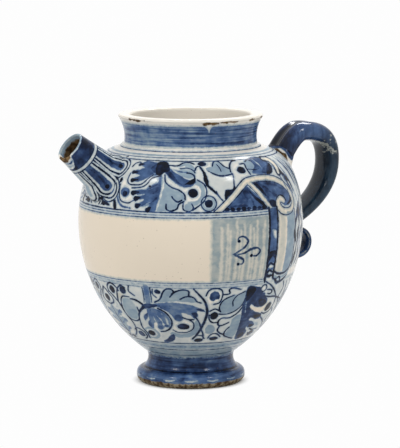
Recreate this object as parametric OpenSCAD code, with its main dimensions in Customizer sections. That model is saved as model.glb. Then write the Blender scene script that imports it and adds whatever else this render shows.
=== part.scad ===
/* [Foot] */
// Height of the foot, from the table to the joint with the belly
foot_h = 23; // [18:0.5:34]
// Largest radius of the foot's rim
foot_r = 40.4; // [37:0.1:50]
// Height of the foot's rim, up to the crease under the waist
foot_rim_h = 10.8; // [9.8:0.1:13]
// Radius of the rim's rounded edges
foot_round = 4.8; // [1:0.1:5.2]
// Radius at the crease above the rim
foot_crease_r = 35.6; // [34:0.1:37]
// Depth of the hollow curve of the waist
foot_waist_depth = 2.2; // [1:0.1:5]
// Thickness of the jar's floor above the table
foot_floor = 9; // [6:0.5:14]
// Radius of the well in the foot
well_r = 21.5; // [12:0.5:24]

/* [Belly] */
// Largest radius of the belly
belly_r = 83.5; // [76:0.5:95]
// Height of the widest level above the top of the foot
belly_low_h = 98; // [85:0.5:110]
// Radius of the joint between belly and foot
joint_r = 32.75; // [30:0.25:34]
// Radius of the curve just above the widest level
belly_up_r = 95; // [80:1:110]
// Angle that this curve covers
belly_up_angle = 22; // [18:0.5:28]
// Radius of the shoulder's curve
shoulder_r = 32.3; // [28:0.1:38]
// Thickness of the thrown wall
wall = 6; // [4:0.25:8]

/* [Neck] */
// Height of the neck above the shoulder
neck_h = 24; // [20:0.5:32]
// Radius of the bore of the neck
neck_bore_r = 44.5; // [40:0.25:46]
// Thickness of the neck at its waist
neck_wall = 4.5; // [3:0.1:6]
// Height of the neck's waist above the shoulder
neck_waist_h = 7; // [4:0.5:9]
// Radius of the neck's hollow curve
neck_curve_r = 27.5; // [24:0.5:34]
// Thickness of the lip from its bore to its outer edge
lip_w = 9; // [7.5:0.1:11]
// Height of the rounded lip
lip_h = 4.2; // [4:0.1:7]
// Radius of the coil round the neck's foot
neck_coil_r = 2.2; // [1.5:0.1:3]

/* [Spout] */
// Slope of the spout above the horizontal
spout_slope = 38.5; // [34:0.5:46]
// Angle on the shoulder's curve where the spout's axis meets it
spout_root_angle = 28; // [24:0.5:34]
// Length of the spout from the belly to its mouth, along its axis
spout_l = 35; // [30:0.5:44]
// Radius of the spout's bore
spout_bore_r = 9; // [6:0.25:10]
// Outer radius at the mouth
spout_tip_r = 11.6; // [10.2:0.1:12.5]
// Radius of the rounding at the mouth's edge
spout_round = 1; // [0.5:0.1:1.6]
// Length of the mouth collar
spout_collar_l = 15; // [10:0.5:20]
// Outer radius of the ridge behind the mouth collar
spout_ridge_r = 13.2; // [12.6:0.1:14.6]
// Outer radius at the root
spout_root_r = 15.6; // [14.8:0.1:18]
// Thickness of the clay coil round the root, at its upper edge
spout_coil_t = 0.8; // [0.6:0.1:2]
// Spread of this coil over the belly
spout_coil_spread = 1.6; // [1:0.1:3]
// Height of this coil along the spout
spout_coil_h = 5; // [4:0.5:8]

/* [Handle] */
// Reach of the handle beyond the belly's largest radius
handle_reach = 46.2; // [40:0.2:54]
// Height of the handle's top above the widest level
handle_top_h = 68.8; // [62:0.2:76]
// Angle on the shoulder's curve where the upper root stands
handle_root_angle = 27; // [22:1:36]
// Slope at which the strap leaves the upper root
handle_rise = 62; // [54:1:72]
// Angle on the belly's lower curve, below the widest level, of the lower root
handle_foot_angle = 4.5; // [2:0.25:6]
// Slope at which the strap leaves the lower root
handle_land = 22; // [16:1:30]
// Width of the strap
handle_w = 25; // [20:0.5:28]
// Thickness of the strap at its upper root
handle_t_root = 17; // [14:0.5:19]
// Thickness of the strap at its lower root
handle_t_foot = 8; // [6.5:0.25:10]
// How late the strap thins on its way down: 1 is evenly all along
handle_taper = 1.6; // [1:0.1:2]
// Distance of the handle's crown from the strap's outermost line
crown_back = 24; // [20:0.5:28]
// Drop from the crown to the level where the strap stands farthest out
side_drop = 23; // [18:0.5:30]
// Length over which the strap keeps its direction at the upper root
root_pull = 19; // [14:0.5:24]
// Length over which the strap runs level before the crown
crown_pull = 8; // [4:0.5:12]
// Length over which the strap runs upright below its outermost level
side_pull = 24; // [16:0.5:30]
// Length over which the strap keeps its direction at the lower root
foot_pull = 20; // [14:0.5:26]
// Depth of the groove along the strap's outer side
handle_groove = 2; // [0.5:0.1:2]
// Share of the strap's width that the groove takes
groove_share = 0.5; // [0.3:0.05:0.8]
// Thickness of the clay wad round the upper root, at its upper edge
wad_t = 1; // [0.8:0.1:2]
// Spread of the wad over the belly
wad_spread = 5; // [2:0.25:7]
// Share of the strap's first bend that the wad covers
wad_share = 0.3; // [0.26:0.02:0.5]

/* [Scroll] */
// Angle on the belly's lower curve, below the widest level, of the scroll's eye
scroll_angle = 9.8; // [8.5:0.1:12]
// Distance of the scroll's eye from the belly
scroll_off = 11; // [9:0.25:12]
// Radius of the curl where it leaves the belly, at the strap's middle
scroll_r = 13.2; // [12:0.2:15]
// Radius that the curl loses in a full turn
scroll_pitch = 6; // [5.6:0.1:7]
// Angle that the curl covers
scroll_turn = 400; // [340:10:430]
// Thickness of the curled strap at the belly
scroll_t_root = 5; // [4:0.1:5.4]
// Thickness of the curled strap at its end
scroll_t_end = 3.6; // [2.5:0.1:4]
// Width of the curled strap at the belly
scroll_w_root = 19; // [16:0.5:22]
// Width of the curled strap at its end
scroll_w_end = 16; // [12:0.5:20]

/* [Hidden] */
$fn = 96;

// Levels and centres of the belly's curves, as [radius, height]
wide_z = foot_h + belly_low_h;
low_span = belly_r - joint_r;
low_r = (low_span * low_span + belly_low_h * belly_low_h) / (2 * low_span);
low_c = [belly_r - low_r, wide_z];
up_c = [belly_r - belly_up_r, wide_z];
up_end = up_c + belly_up_r * heading(belly_up_angle);
shoulder_c = up_end - shoulder_r * heading(belly_up_angle);

// The neck stands on a flat ring that also carries the coil round it
neck_waist_r = neck_bore_r + neck_wall;
neck_curve_c = neck_waist_r + neck_curve_r;
neck_foot_r = neck_curve_c - sqrt(pow(neck_curve_r, 2) - pow(neck_waist_h, 2));
seat_r = neck_foot_r + neck_coil_r;
neck_z = shoulder_c[1] + sqrt(pow(shoulder_r, 2) - pow(seat_r - shoulder_c[0], 2));
jar_h = neck_z + neck_h;
lip_r = neck_bore_r + lip_w;

// The waist of the foot is an arc through the joint and the crease
waist_a = [joint_r, foot_h];
waist_b = [foot_crease_r, foot_rim_h];
waist_chord = norm(waist_b - waist_a);
waist_r = (pow(waist_chord / 2, 2) + pow(foot_waist_depth, 2)) / (2 * foot_waist_depth);
waist_out = [waist_a[1] - waist_b[1], waist_b[0] - waist_a[0]] / waist_chord;
waist_c = (waist_a + waist_b) / 2 + (waist_r - foot_waist_depth) * waist_out;

// Roots on the belly, as [radius, height]
spout_root = shoulder_c + shoulder_r * heading(spout_root_angle);
handle_root = shoulder_c + shoulder_r * heading(handle_root_angle);
handle_foot = low_c + low_r * heading(-handle_foot_angle);

// What is luted on the belly is drawn this far into it, then trimmed to its outside
bite = 2 * wall;

// Rings along a bend of the strap, and points round it
bend_rings = 12;
strap_points = 20;
// How square the strap's edges are: 1 is an ellipse
strap_square = 0.85;
// Fullness of the bend between crown and side: 0.55 is close to a quarter circle
round_pull = 0.68;

// The strap's middle line: up from the shoulder, over the crown, down the side to the belly
crown_t = handle_t(1 / 3);
side_t = handle_t(2 / 3);
crown = [belly_r + handle_reach - side_t / 2 - crown_back, wide_z + handle_top_h - crown_t / 2];
side = crown + [crown_back, -side_drop];
handle_bends = [
    [handle_root - bite * heading(handle_rise), handle_root + root_pull * heading(handle_rise),
     crown - [crown_pull, 0], crown],
    [crown, crown + [round_pull * crown_back, 0], side + [0, round_pull * side_drop], side],
    [side, side - [0, side_pull], handle_foot + foot_pull * heading(handle_land),
     handle_foot - bite * heading(handle_land)]];
handle_path = [for (k = [0:2]) for (i = [min(k, 1):bend_rings])
               bezier(handle_bends[k], i / bend_rings)];

// The curl starts inside the belly, passes under its eye and winds inwards
scroll_c = low_c + (low_r + scroll_off) * heading(-scroll_angle);
scroll_rings = 44;
scroll_start = 180;

function heading(a) = [cos(a), sin(a)];

function bezier(p, t) = pow(1 - t, 3) * p[0] + 3 * pow(1 - t, 2) * t * p[1]
                      + 3 * (1 - t) * t * t * p[2] + pow(t, 3) * p[3];

function blend(a, b, f) = a + (b - a) * f;

function handle_t(f) = blend(handle_t_root, handle_t_foot, pow(f, handle_taper));

// Left-hand normal of a path at point i
function path_normal(path, i) =
    let (a = path[max(i - 1, 0)], b = path[min(i + 1, len(path) - 1)], d = b - a)
    [-d[1], d[0]] / norm(d);

function rounded(v) = sign(v) * pow(abs(v), strap_square);

// A point of the strap's section as [across, out], with a groove along the outer side
function strap_point(k, w, t, groove) =
    let (a = 360 * k / strap_points, x = rounded(cos(a)), y = rounded(sin(a)))
    [x * w / 2, y * t / 2 - (y > 0 ? groove * pow(max(0, 1 - pow(x / groove_share, 2)), 2) : 0)];

// A strap along a path in the XZ plane, with one [width, thickness, groove] for each point
module strap(path, sizes) {
    n = strap_points;
    last = len(path) - 1;
    points = [for (i = [0:last]) let (u = path_normal(path, i), s = sizes[i])
              for (k = [0:n - 1]) let (q = strap_point(k, s[0], s[1], s[2]))
              [path[i][0] + q[1] * u[0], q[0], path[i][1] + q[1] * u[1]]];
    sides = [for (i = [0:last - 1]) for (k = [0:n - 1])
             let (a = i * n + k, b = i * n + (k + 1) % n)
             each [[a, b + n, b], [a, a + n, b + n]]];
    polyhedron(points, concat(sides, [[for (k = [0:n - 1]) k]],
               [[for (k = [n - 1:-1:0]) last * n + k]]), convexity = 6);
}

// The whole strap of the handle, before it is trimmed to the belly
module handle_strap() {
    last = len(handle_path) - 1;
    strap(handle_path, [for (i = [0:last]) [handle_w, handle_t(i / last), handle_groove]]);
}

// Half the belly's section, with its curves drawn in by inset
module belly_half(inset) {
    up_level = up_c[1] + (belly_up_r - inset) * sin(belly_up_angle);
    intersection() {
        translate(low_c) circle(low_r - inset);
        translate([0, foot_h]) square([2 * belly_r, belly_low_h]);
    }
    intersection() {
        translate(up_c) circle(belly_up_r - inset);
        translate([0, wide_z]) square([2 * belly_r, up_level - wide_z]);
    }
    intersection() {
        translate(shoulder_c) circle(shoulder_r - inset);
        translate([shoulder_c[0], wide_z]) square([belly_r, neck_z - wide_z]);
    }
    translate([0, wide_z])
        square([shoulder_c[0], min(neck_z, shoulder_c[1] + shoulder_r - inset) - wide_z]);
}

module belly_solid() rotate_extrude() belly_half(0);

// Half the neck's section, without its bore
module neck_half() {
    difference() {
        translate([0, neck_z]) square([lip_r, neck_h - lip_h / 2]);
        translate([neck_curve_c, neck_z + neck_waist_h]) circle(neck_curve_r);
    }
    for (r = [lip_r - lip_h / 2, neck_bore_r + lip_h / 2])
        translate([r, jar_h - lip_h / 2]) circle(lip_h / 2);
    translate([neck_bore_r + lip_h / 2, jar_h - lip_h]) square([lip_w - lip_h, lip_h]);
}

// Puts what is drawn along +Z on the spout's axis, with the root at 0
module along_spout() {
    translate([-spout_root[0], 0, spout_root[1]])
        rotate([0, spout_slope - 90, 0])
            children();
}

module spout_bore() {
    along_spout() translate([0, 0, -2 * bite]) cylinder(r = spout_bore_r, h = spout_l + 3 * bite);
}

// The spout without its bore, before it is trimmed to the belly
module spout_solid() {
    tip = spout_l - spout_round;
    along_spout() rotate_extrude() {
        polygon([[0, -bite], [spout_root_r, -bite], [spout_root_r, 0],
                 [spout_ridge_r, spout_l - spout_collar_l], [spout_tip_r, tip],
                 [spout_tip_r - spout_round, tip], [spout_tip_r - spout_round, spout_l], [0, spout_l]]);
        intersection() {
            translate([spout_tip_r - spout_round, tip]) circle(spout_round);
            translate([0, tip]) square([spout_tip_r, spout_round]);
        }
    }
}

module belly() {
    color("lightsteelblue")
    difference() {
        belly_solid();
        rotate_extrude() belly_half(wall);
        cylinder(r = well_r, h = wide_z);
        translate([0, 0, wide_z]) cylinder(r = neck_bore_r, h = belly_r);
        spout_bore();
    }
}

module neck() {
    color("steelblue")
    rotate_extrude()
        difference() {
            neck_half();
            square([neck_bore_r, jar_h - lip_h / 2]);
        }
}

module neck_coil() {
    color("ivory")
    rotate_extrude()
        difference() {
            translate([neck_foot_r, neck_z]) circle(neck_coil_r);
            neck_half();
            square([belly_r, neck_z]);
        }
}

module foot() {
    color("midnightblue")
    rotate_extrude()
        difference() {
            union() {
                difference() {
                    translate([0, foot_rim_h]) square([foot_r, foot_h - foot_rim_h]);
                    translate(waist_c) circle(waist_r);
                }
                square([foot_r - foot_round, foot_rim_h]);
                translate([0, foot_round]) square([foot_r, foot_rim_h - 2 * foot_round]);
                for (z = [foot_round, foot_rim_h - foot_round])
                    translate([foot_r - foot_round, z]) circle(foot_round);
            }
            translate([0, foot_floor]) square([well_r, foot_h]);
        }
}

module spout() {
    color("navy")
    difference() {
        spout_solid();
        spout_bore();
        belly_solid();
    }
}

module spout_coil() {
    top_r = spout_root_r + spout_coil_t;
    base_r = top_r + spout_coil_spread * (spout_coil_h + bite) / spout_coil_h;
    color("lightblue")
    difference() {
        along_spout() translate([0, 0, -bite])
            cylinder(r1 = base_r, r2 = top_r, h = bite + spout_coil_h);
        spout_solid();
        belly_solid();
    }
}

module handle() {
    color("midnightblue")
    difference() {
        handle_strap();
        belly_solid();
    }
}

module handle_wad() {
    rings = 6;
    path = [for (i = [0:rings]) bezier(handle_bends[0], wad_share * i / rings)];
    sizes = [for (i = [0:rings])
             let (flare = 2 * (wad_t + wad_spread * pow(1 - i / rings, 2)))
             [handle_w + flare, handle_t(wad_share / 3 * i / rings) + flare, 0]];
    color("seashell")
    difference() {
        strap(path, sizes);
        handle_strap();
        belly_solid();
    }
}

module handle_scroll() {
    steps = [for (i = [0:scroll_rings]) i / scroll_rings];
    path = [for (f = steps)
            let (turn = f * scroll_turn)
            scroll_c + (scroll_r - scroll_pitch * turn / 360) * heading(scroll_start + turn)];
    sizes = [for (f = steps)
             [blend(scroll_w_root, scroll_w_end, f), blend(scroll_t_root, scroll_t_end, f), 0]];
    color("midnightblue")
    difference() {
        strap(path, sizes);
        handle_strap();
        belly_solid();
    }
}

belly();
neck();
neck_coil();
foot();
spout();
spout_coil();
handle();
handle_wad();
handle_scroll();
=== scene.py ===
import math

import bpy
import numpy as np
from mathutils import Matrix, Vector


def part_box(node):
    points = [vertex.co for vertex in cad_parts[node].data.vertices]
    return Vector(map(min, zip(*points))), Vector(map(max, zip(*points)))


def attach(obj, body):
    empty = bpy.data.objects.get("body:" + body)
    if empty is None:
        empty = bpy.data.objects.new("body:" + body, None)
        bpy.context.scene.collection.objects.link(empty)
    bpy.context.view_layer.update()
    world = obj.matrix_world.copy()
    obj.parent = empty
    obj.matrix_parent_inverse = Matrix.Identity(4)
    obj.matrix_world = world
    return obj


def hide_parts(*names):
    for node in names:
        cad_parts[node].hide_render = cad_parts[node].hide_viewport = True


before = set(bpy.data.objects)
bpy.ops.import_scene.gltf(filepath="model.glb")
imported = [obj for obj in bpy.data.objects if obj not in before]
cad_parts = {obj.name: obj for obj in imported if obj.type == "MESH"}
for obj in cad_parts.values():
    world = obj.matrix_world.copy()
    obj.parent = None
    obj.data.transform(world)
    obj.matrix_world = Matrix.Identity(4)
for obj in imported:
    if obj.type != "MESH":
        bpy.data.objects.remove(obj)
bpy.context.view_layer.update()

# Lengths are in mm and angles in degrees, unless a name says otherwise
MM = 0.001

# Sizes read from the frame
belly_low, belly_high = (np.array(corner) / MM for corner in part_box("belly"))
neck_low, neck_high = (np.array(corner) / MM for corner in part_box("neck"))
BELLY_R, FOOT_H = belly_high[1], belly_low[2]
LIP_R, NECK_Z, JAR_H = neck_high[0], neck_low[2], neck_high[2]
FOOT_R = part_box("foot")[1][0] / MM

# Curves of the jar's profile
BELLY_LOW_H = 98
WIDE_Z = FOOT_H + BELLY_LOW_H
JOINT_R = 32.75
UP_R = 95
UP_ANGLE = 22
SHOULDER_R = 32.3
WALL = 6
NECK_BORE_R = 44.5
NECK_WAIST_R = 49
NECK_WAIST_H = 7
NECK_CURVE_R = 27.5
NECK_COIL_R = 2.2
LIP_H = 4.2
FOOT_RIM_H = 10.8
FOOT_ROUND = 4.8
FOOT_CREASE_R = 35.6
FOOT_WAIST_DEPTH = 2.2
FOOT_FLOOR = 9
WELL_R = 21.5


def heading(angle):
    """Unit vector at an angle."""
    turn = math.radians(angle)
    return np.array([math.cos(turn), math.sin(turn)])


# Centres of the belly's curves, as (radius, height)
LOW_SPAN = BELLY_R - JOINT_R
LOW_R = (LOW_SPAN ** 2 + (WIDE_Z - FOOT_H) ** 2) / (2 * LOW_SPAN)
LOW_C = np.array([BELLY_R - LOW_R, WIDE_Z])
UP_C = np.array([BELLY_R - UP_R, WIDE_Z])
SHOULDER_C = UP_C + (UP_R - SHOULDER_R) * heading(UP_ANGLE)
NECK_C = np.array([NECK_WAIST_R + NECK_CURVE_R, NECK_Z + NECK_WAIST_H])
NECK_FOOT_R = NECK_C[0] - math.sqrt(NECK_CURVE_R ** 2 - NECK_WAIST_H ** 2)
SEAT_R = NECK_FOOT_R + NECK_COIL_R

# Spout: its outline along its axis, its root on the shoulder and its directions
SPOUT_ANGLE = 180
SPOUT_SLOPE = 38.5
SPOUT_ROOT_ANGLE = 28
SPOUT_L = 35
SPOUT_BORE_R = 9
SPOUT_TIP_R = 11.6
SPOUT_ROUND = 1
SPOUT_COLLAR_L = 15
SPOUT_RIDGE_R = 13.2
SPOUT_ROOT_R = 15.6
SPOUT_DEEP = 9
SPOUT_COIL_T = 0.8
SPOUT_COIL_SPREAD = 1.6
SPOUT_COIL_H = 5
SPOUT_ROOT = SHOULDER_C + SHOULDER_R * heading(SPOUT_ROOT_ANGLE)
SPOUT_START = np.array([-SPOUT_ROOT[0], 0, SPOUT_ROOT[1]])
SPOUT_AXIS = np.array([-heading(SPOUT_SLOPE)[0], 0, heading(SPOUT_SLOPE)[1]])
SPOUT_UP = np.array([heading(SPOUT_SLOPE)[1], 0, heading(SPOUT_SLOPE)[0]])
SPOUT_SIDE = np.array([0, -1, 0])

# Handle: its sections, its reach and the directions in which it leaves its upper and its lower root
HANDLE_W = 25
HANDLE_T_ROOT = 17
HANDLE_T_FOOT = 8
HANDLE_TAPER = 1.6
HANDLE_GROOVE = 2
GROOVE_SHARE = 0.5
STRAP_SQUARE = 0.85
HANDLE_REACH = 46
HANDLE_TOP_H = 68.8
HANDLE_ROOT_ANGLE = 27
HANDLE_FOOT_ANGLE = 4.5
RISE = heading(62)
LAND = heading(22)
# The bends of its middle line: how deep the ends go in, where the crown lies and how long it runs straight
BITE = 2 * WALL
CROWN_BACK = 24
SIDE_DROP = 23
ROUND_PULL = 0.68
ROOT_PULL, CROWN_PULL, SIDE_PULL, FOOT_PULL = 19, 8, 24, 20


def handle_t(share):
    """Thickness of the strap at a share of its length."""
    return HANDLE_T_ROOT + (HANDLE_T_FOOT - HANDLE_T_ROOT) * share ** HANDLE_TAPER


HANDLE_ROOT = SHOULDER_C + SHOULDER_R * heading(HANDLE_ROOT_ANGLE)
HANDLE_FOOT = LOW_C + LOW_R * heading(-HANDLE_FOOT_ANGLE)
CROWN = np.array([BELLY_R + HANDLE_REACH - handle_t(2 / 3) / 2 - CROWN_BACK,
                  WIDE_Z + HANDLE_TOP_H - handle_t(1 / 3) / 2])
SIDE = CROWN + [CROWN_BACK, -SIDE_DROP]
HANDLE_BENDS = [
    [HANDLE_ROOT - BITE * RISE, HANDLE_ROOT + ROOT_PULL * RISE, CROWN - [CROWN_PULL, 0], CROWN],
    [CROWN, CROWN + [ROUND_PULL * CROWN_BACK, 0], SIDE + [0, ROUND_PULL * SIDE_DROP], SIDE],
    [SIDE, SIDE - [0, SIDE_PULL], HANDLE_FOOT + FOOT_PULL * LAND, HANDLE_FOOT - BITE * LAND]]

# The wad round the handle's upper root, and the curl, with its sizes at the belly and at its end
WAD_T = 1
WAD_SPREAD = 5
WAD_SHARE = 0.3
SCROLL_ANGLE = 9.8
SCROLL_OFF = 11
SCROLL_C = LOW_C + (LOW_R + SCROLL_OFF) * heading(-SCROLL_ANGLE)
SCROLL_R = 13.2
SCROLL_PITCH = 6
SCROLL_TURN = 400
SCROLL_T = (5, 3.6)
SCROLL_W = (19, 16)


# Outlines

def arc(centre, radius, start, end, step):
    """Points of an arc from angle start to angle end, about step apart."""
    count = max(2, int(abs(math.radians(end - start)) * radius / step) + 1)
    turn = np.radians(np.linspace(start, end, count))
    return np.stack([centre[0] + radius * np.cos(turn), centre[1] + radius * np.sin(turn)], 1)


def line(a, b, step):
    """Points of a straight run, about step apart."""
    return np.linspace(a, b, max(2, int(math.dist(a, b) / step) + 1))


def chain(*runs):
    """Runs of points joined into one, without the repeated ends."""
    points = np.vstack(runs)
    keep = np.r_[True, np.hypot(*np.diff(points, axis=0).T) > 1e-4]
    return points[keep]


def lengths(points):
    """Length along a run at each of its points."""
    return np.r_[0, np.cumsum(np.linalg.norm(np.diff(points, axis=0), axis=1))]


def belly_curve(inset, step, top):
    """The belly's curve from the foot up to the height top, drawn in by inset."""
    low_start = -math.degrees(math.asin((WIDE_Z - FOOT_H) / (LOW_R - inset)))
    end = math.degrees(math.asin(min(1, (top - SHOULDER_C[1]) / (SHOULDER_R - inset))))
    return chain(arc(LOW_C, LOW_R - inset, low_start, 0, step),
                 arc(UP_C, UP_R - inset, 0, UP_ANGLE, step),
                 arc(SHOULDER_C, SHOULDER_R - inset, UP_ANGLE, end, step))


def belly_depth(points):
    """Depth of points below the belly's skin, and the way out of it, as (radius, height)."""
    radius, height = np.hypot(points[:, 0], points[:, 1]), points[:, 2]
    centre = np.where((height < WIDE_Z)[:, None], LOW_C, SHOULDER_C)
    reach = np.where(height < WIDE_Z, LOW_R, SHOULDER_R)
    angle = np.degrees(np.arctan2(height - UP_C[1], radius - UP_C[0]))
    middle = (height >= WIDE_Z) & (angle < UP_ANGLE)
    centre[middle] = UP_C
    reach[middle] = UP_R
    away = np.stack([radius, height], 1) - centre
    size = np.linalg.norm(away, axis=1)
    return reach - size, away / size[:, None]


def sink(points, depth):
    """Brings points that lie deeper than depth under the belly's skin back to that depth."""
    radius = np.hypot(points[:, 0], points[:, 1])
    below, out = belly_depth(points)
    lift = np.maximum(below - depth, 0)
    grown = (radius + lift * out[:, 0]) / radius
    return np.stack([points[:, 0] * grown, points[:, 1] * grown, points[:, 2] + lift * out[:, 1]], 1)


def round_spout(points):
    """Where points lie about the spout: the length along its axis, the distance from it, the angle."""
    away = points - SPOUT_START
    along = away @ SPOUT_AXIS
    flat = away - along[:, None] * SPOUT_AXIS
    angle = np.degrees(np.arctan2(flat @ SPOUT_SIDE, flat @ SPOUT_UP))
    return along, np.linalg.norm(flat, axis=1), angle


# Meshes

def build(name, points, shape, node, layers, material):
    """A smooth piece that stands for a CAD node, with a UV map and one number per vertex and layer."""
    quads, uv = shape
    mesh = bpy.data.meshes.new(name)
    mesh.vertices.add(len(points))
    mesh.vertices.foreach_set("co", (points * MM).astype(np.float32).ravel())
    mesh.loops.add(quads.size)
    mesh.loops.foreach_set("vertex_index", quads.astype(np.int32).ravel())
    mesh.polygons.add(len(quads))
    mesh.polygons.foreach_set("loop_start", np.arange(0, quads.size, 4, dtype=np.int32))
    mesh.update(calc_edges=True)
    mesh.polygons.foreach_set("use_smooth", np.ones(len(quads), bool))
    skin = mesh.uv_layers.new(name="OFBake")
    skin.data.foreach_set("uv", uv.astype(np.float32).ravel())
    mesh.validate()
    piece = bpy.data.objects.new(name, mesh)
    bpy.context.scene.collection.objects.link(piece)
    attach(piece, "root")
    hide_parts(node)
    for layer, values in layers.items():
        attribute = mesh.attributes.new(layer, "FLOAT", "POINT")
        attribute.data.foreach_set("value", values.astype(np.float32))
    mesh.materials.append(material)


def grid(rows, columns, closed=True):
    """Quads and UVs of a tube of rows and columns; a closed one joins its last row to its first."""
    spans = rows if closed else rows - 1
    row, column = np.meshgrid(np.arange(spans), np.arange(columns), indexing="ij")
    below = (row % rows) * columns
    above = ((row + 1) % rows) * columns
    after = (column + 1) % columns
    quads = np.stack([below + column, below + after, above + after, above + column], -1).reshape(-1, 4)
    left, right = column / columns, (column + 1) / columns
    low, high = row / spans, (row + 1) / spans
    uv = np.stack([left, low, right, low, right, high, left, high], -1).reshape(-1, 4, 2)
    return quads, uv


def turned(profile, columns):
    """Points of a profile turned about +Z, row by row, with each column's angle from the spout."""
    angle = SPOUT_ANGLE + np.arange(columns) * 360 / columns
    turn = np.radians(angle)
    x = profile[:, :1] * np.cos(turn)
    y = profile[:, :1] * np.sin(turn)
    z = np.repeat(profile[:, 1:], columns, 1)
    return np.stack([x, y, z], -1).reshape(-1, 3), angle - SPOUT_ANGLE


# Paint

LAYERS = ("warm", "mist", "veil", "pale", "half", "mid", "shade", "deep", "dark", "line", "clay")
PAINTS = LAYERS[1:-1]
FAR = 4.0
SPLINE_STEPS = 5


def spline(points, closed=False):
    """A smooth run through points; every coordinate is smoothed alike."""
    p = np.array(points, float)
    p = np.vstack([p[-1], p, p[:2]] if closed else [2 * p[0] - p[1], p, 2 * p[-1] - p[-2]])
    t = np.linspace(0, 1, SPLINE_STEPS, endpoint=False)[:, None]
    runs = []
    for a, b, c, d in zip(p, p[1:], p[2:], p[3:]):
        bend, twist = 2 * a - 5 * b + 4 * c - d, 3 * b - a - 3 * c + d
        runs.append(0.5 * (2 * b + (c - a) * t + bend * t ** 2 + twist * t ** 3))
    return np.vstack(runs + ([] if closed else [p[-2:-1]]))


class Canvas:
    """Signed distances from each point of a surface to what is painted on it, in mm.

    A place is an angle round the surface and a length along its profile.
    """

    def __init__(self, angle, length, radius):
        self.angle = angle
        self.length = length
        self.scale = np.radians(radius)
        self.layers = {name: np.full(angle.shape, FAR) for name in LAYERS}
        self.shift = 0.0

    def near(self, path, reach):
        """Indices of the surface's points within reach of a path's box."""
        low, high = path[:, :2].min(0), path[:, :2].max(0)
        wide = reach / self.scale
        keep = (self.length > low[1] - reach) & (self.length < high[1] + reach)
        keep &= (self.angle > low[0] - wide) & (self.angle < high[0] + wide)
        return np.nonzero(keep)[0]

    def about(self, centre, reach):
        """Indices of the points within reach of a place, and where they lie from it in mm."""
        place = np.array([[centre[0] + self.shift, centre[1]]])
        index = self.near(place, reach)
        x = (self.angle[index] - place[0, 0]) * self.scale[index]
        return index, x, self.length[index] - place[0, 1]

    def lay(self, layer, index, distance):
        """Adds a shape to a layer, or clears it out of every paint."""
        for name in PAINTS if layer == "clear" else (layer,):
            old = self.layers[name][index]
            new = np.maximum(old, -distance) if layer == "clear" else np.minimum(old, distance)
            self.layers[name][index] = new

    def gap(self, path, index):
        """Distance from points to a brush path of (angle, length, half width)."""
        scale = self.scale[index]
        a, b = path[:-1, :, None], path[1:, :, None]
        px, py = (self.angle[index] - a[:, 0]) * scale, self.length[index] - a[:, 1]
        bx, by = (b[:, 0] - a[:, 0]) * scale, b[:, 1] - a[:, 1]
        part = np.clip((px * bx + py * by) / (bx * bx + by * by + 1e-9), 0, 1)
        width = a[:, 2] + (b[:, 2] - a[:, 2]) * part
        return (np.hypot(px - part * bx, py - part * by) - width).min(0)

    def stroke(self, layer, width, *points):
        """A brush stroke through points; width is one number or a few, spread along it."""
        places = np.array(points, float) + [self.shift, 0]
        widths = np.atleast_1d(np.array(width, float))
        spread = np.interp(np.linspace(0, 1, len(places)), np.linspace(0, 1, len(widths)), widths)
        path = spline(np.c_[places, spread / 2])
        index = self.near(path, FAR + widths.max() / 2)
        self.lay(layer, index, self.gap(path, index))

    def draw(self, layer, width, *ways):
        """Several strokes with one brush."""
        for way in ways:
            self.stroke(layer, width, *way)

    def fill(self, layer, *points, smooth=True):
        """An area with a smooth or a straight-sided outline."""
        places = np.array(points, float) + [self.shift, 0]
        path = spline(places, True) if smooth else places
        path = np.c_[np.vstack([path, path[:1]]), np.zeros(len(path) + 1)]
        index = self.near(path, FAR)
        x, y = self.angle[index], self.length[index]
        a, b = path[:-1, :, None], path[1:, :, None]
        rise = b[:, 1] - a[:, 1]
        meets = a[:, 0] + (b[:, 0] - a[:, 0]) * (y - a[:, 1]) / np.where(rise == 0, 1e-9, rise)
        crossed = ((a[:, 1] > y) != (b[:, 1] > y)) & (x < meets)
        inside = crossed.sum(0) % 2 == 1
        gap = self.gap(path, index)
        self.lay(layer, index, np.where(inside, -gap, gap))

    def dot(self, layer, centre, width, height):
        """A round or oval spot."""
        index, x, y = self.about(centre, FAR + max(width, height) / 2)
        self.lay(layer, index, (np.hypot(x * 2 / width, y * 2 / height) - 1) * min(width, height) / 2)

    def spots(self, layer, *spots):
        """Several spots, each an angle, a length, a width and a height."""
        for angle, length, width, height in spots:
            self.dot(layer, (angle, length), width, height)

    def ring(self, layer, centre, across, width):
        """A round line."""
        index, x, y = self.about(centre, FAR + across)
        self.lay(layer, index, np.abs(np.hypot(x, y) - across / 2) - width / 2)

    def band(self, layer, low, high, start=-1000, end=1000):
        """A band between two lengths along the profile, from one angle to another."""
        along = np.maximum(low - self.length, self.length - high)
        sideways = np.maximum(start - self.angle, self.angle - end) * self.scale
        self.lay(layer, np.arange(len(self.angle)), np.maximum(along, sideways))


def lathe_canvas(angle, length, radius):
    """A canvas of rows, each with its length and radius, that all have the same angles."""
    columns = len(angle)
    return Canvas(np.tile(angle, len(length)), np.repeat(length, columns), np.repeat(radius, columns))


def moved(way, right, up=0):
    """A way moved by an angle and by a length."""
    return [(angle + right, length + up) for angle, length in way]


# Ornament of the belly: the angle counts from the spout, the length from the foot

LABEL_LOW, LABEL_HIGH = 79, 126
LABEL_END = 101
CREAM_SPOTS = ((59.2, 144.6), (67.2, 137), (65, 167), (21.5, 143), (88.5, 161), (53, 39.8), (27.3, 31),
               (64.3, 25), (17.5, 147), (14, 137), (71.5, 66), (72.7, 50), (76.3, 26), (114.5, 52.3),
               (113, 27), (49, 158))
# Where the lower spray is painted once more, under the handle
NEXT_SPRAY = 118


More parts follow.
